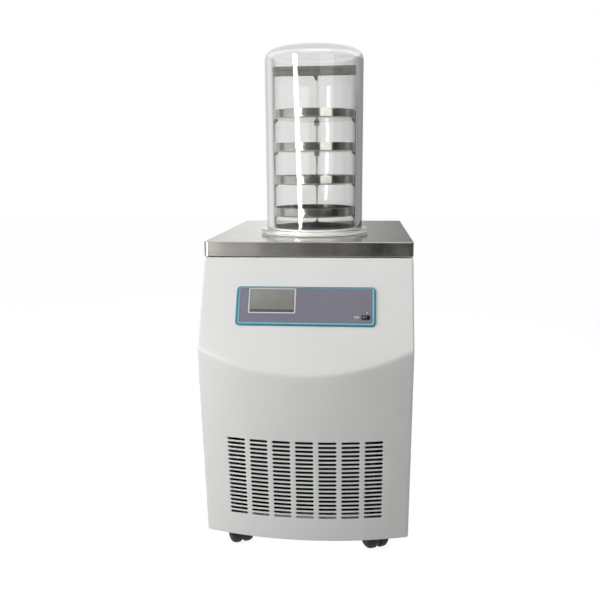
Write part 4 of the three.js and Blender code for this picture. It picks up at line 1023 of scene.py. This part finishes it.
def backdrop(name, tones, distance, levels, rays):
    """A glowing band round the object, seen only by one kind of ray.

    Each row of the table is a bearing and a tone, or a lower and an upper tone. The tones
    are grey levels of light, blended between the bearings, and from one to the other
    between the second and the third of the four levels.
    """
    spots = np.arange(-180, 181, 1.0)
    table = np.array([(*row, row[-1])[:3] for row in tones], float)
    shades = [np.interp(spots, table[:, 0], table[:, row]) for row in (1, 1, 2, 2)]
    angle = np.radians(spots)
    heights = np.array(levels) * 1000
    points = np.stack(np.broadcast_arrays(
        np.sin(angle) * distance * 1000, chamber_y - np.cos(angle) * distance * 1000,
        heights[:, None]), -1).reshape(-1, 3)
    material = bpy.data.materials.new(name)
    material.use_nodes = True
    nodes = material.node_tree
    nodes.nodes.clear()
    shade = add(nodes, "ShaderNodeAttribute", {"attribute_name": "tone"})
    glow = add(nodes, "ShaderNodeEmission", {"Strength": 1.0}, {"Color": shade.outputs["Color"]})
    add(nodes, "ShaderNodeOutputMaterial", {}, {"Surface": glow.outputs[0]})
    mesh = bpy.data.meshes.new(name)
    mesh.from_pydata((points * 0.001).tolist(), [], grid_faces(4, len(spots)).tolist())
    colours = np.ones((len(points), 4), np.float32)
    colours[:, :3] = np.concatenate(shades)[:, None]
    mesh.color_attributes.new("tone", "FLOAT_COLOR", "POINT").data.foreach_set(
        "color", colours.ravel())
    mesh.materials.append(material)
    band = bpy.data.objects.new(name, mesh)
    bpy.context.scene.collection.objects.link(band)
    band.visible_camera = band.visible_diffuse = band.visible_shadow = False
    band.visible_glossy, band.visible_transmission = rays == "glossy", rays == "transmission"
    return band


left_softbox = soft_lamp("left_softbox", -60, 1.9, 0.95, 1.4, 1.5, 34)
left_softbox.visible_glossy = left_softbox.visible_transmission = False
strip_softbox = soft_lamp("strip_softbox", -34.5, 1.75, 0.94, 0.24, 0.98, 21, aim=0.94)
strip_softbox.rotation_euler.rotate_axis("Z", math.radians(25))
strip_softbox.visible_diffuse = False
soft_lamp("right_fill", 35, 1.7, 1.15, 1.0, 1.0, 6.5).visible_glossy = False
soft_lamp("overhead", 10, 0.6, 2.3, 1.4, 1.4, 9).visible_glossy = False
backdrop("room_in_reflections", [
    (-180, 1), (-170, 1), (-160, 0.8), (-100, 0.75), (-96, 0.35), (-89, 0.35), (-85, 0.8),
    (-50, 0.75, 0.7), (-28, 0.7, 0.22), (-12, 0.5, 0.16), (-5, 0.24, 0.13), (1, 0.1, 0.12),
    (4, 0.02, 0.12), (27, 0.02, 0.11), (32, 0.05, 0.04), (68, 0.05, 0.04), (74, 0.1),
    (94, 0.12), (98, 0.25), (110, 0.22), (115, 0.07), (165, 0.1), (172, 0.3), (178, 0.44),
    (180, 1)], 2.9, (-0.05, 0.42, 0.52, 1.9), "glossy")
backdrop("room_through_the_jar", [
    (-180, 0.93), (-172, 1), (-161, 1), (-157, 0.6), (-149, 0.6), (-144, 0.87), (-104, 0.95),
    (-98, 0.4), (-88, 0.4), (-82, 1), (-50, 1), (-30, 0.34, 0.7), (-4, 0.18, 0.7),
    (27, 0.11, 0.7), (32, 0.06, 0.65), (70, 0.06, 0.6), (74, 0.16, 0.6), (94, 0.2, 0.6),
    (98, 0.49, 0.6), (110, 0.49, 0.5), (116, 0.16, 0.5), (130, 0.2, 0.5), (140, 0.4, 0.45),
    (150, 0.44, 0.45), (164, 0.42, 0.45), (168, 0.65), (176, 0.82), (180, 0.93)
], 3.1, (-0.05, 1.15, 1.3, 1.9), "transmission")
print(len(bpy.data.lights), "lamps")

# %% World and floor
def seen_by_eye(tree):
    """1 for rays that the camera sends out, straight or by way of metal and glass, else 0."""
    path = add(tree, "ShaderNodeLightPath")
    value = path.outputs["Is Camera Ray"]
    for kind in ("Is Glossy Ray", "Is Transmission Ray"):
        value = add(tree, "ShaderNodeMath", {"operation": "MAXIMUM"},
                    {0: value, 1: path.outputs[kind]}).outputs[0]
    return value


scene = bpy.context.scene
world = bpy.data.worlds.new("studio")
scene.world = world
world.use_nodes = True
tree = world.node_tree
tree.nodes.clear()
soft = add(tree, "ShaderNodeBackground", {"Color": linear("#F4F5F6"), "Strength": 0.16})
white = add(tree, "ShaderNodeBackground", {"Color": (1, 1, 1, 1), "Strength": 1.0})
both = add(tree, "ShaderNodeMixShader", {}, {0: seen_by_eye(tree), 1: soft.outputs[0],
                                             2: white.outputs[0]})
add(tree, "ShaderNodeOutputWorld", {}, {"Surface": both.outputs[0]})

floor_finish = bpy.data.materials.new("pale studio floor")
floor_finish.use_nodes = True
tree = floor_finish.node_tree
shader = tree.nodes["Principled BSDF"]
shader.inputs["Base Color"].default_value = linear("#A2A2A1")
shader.inputs["Roughness"].default_value = 0.9
shader.inputs["Specular IOR Level"].default_value = 0.1
lift = add(tree, "ShaderNodeMath", {"operation": "MULTIPLY", 1: 0.9}, {0: seen_by_eye(tree)})
tree.links.new(lift.outputs[0], shader.inputs["Emission Strength"])
shader.inputs["Emission Color"].default_value = (1, 1, 1, 1)
far = 9000
floor = mesh_object("studio_floor", (np.pad(rectangle(-far, far, -far, far), ((0, 0), (0, 1))),
                                     [(0, 1, 2, 3)]), floor_finish, outward=False)
scene.view_settings.view_transform = "Standard"
print("floor of", 2 * far // 1000, "metres")
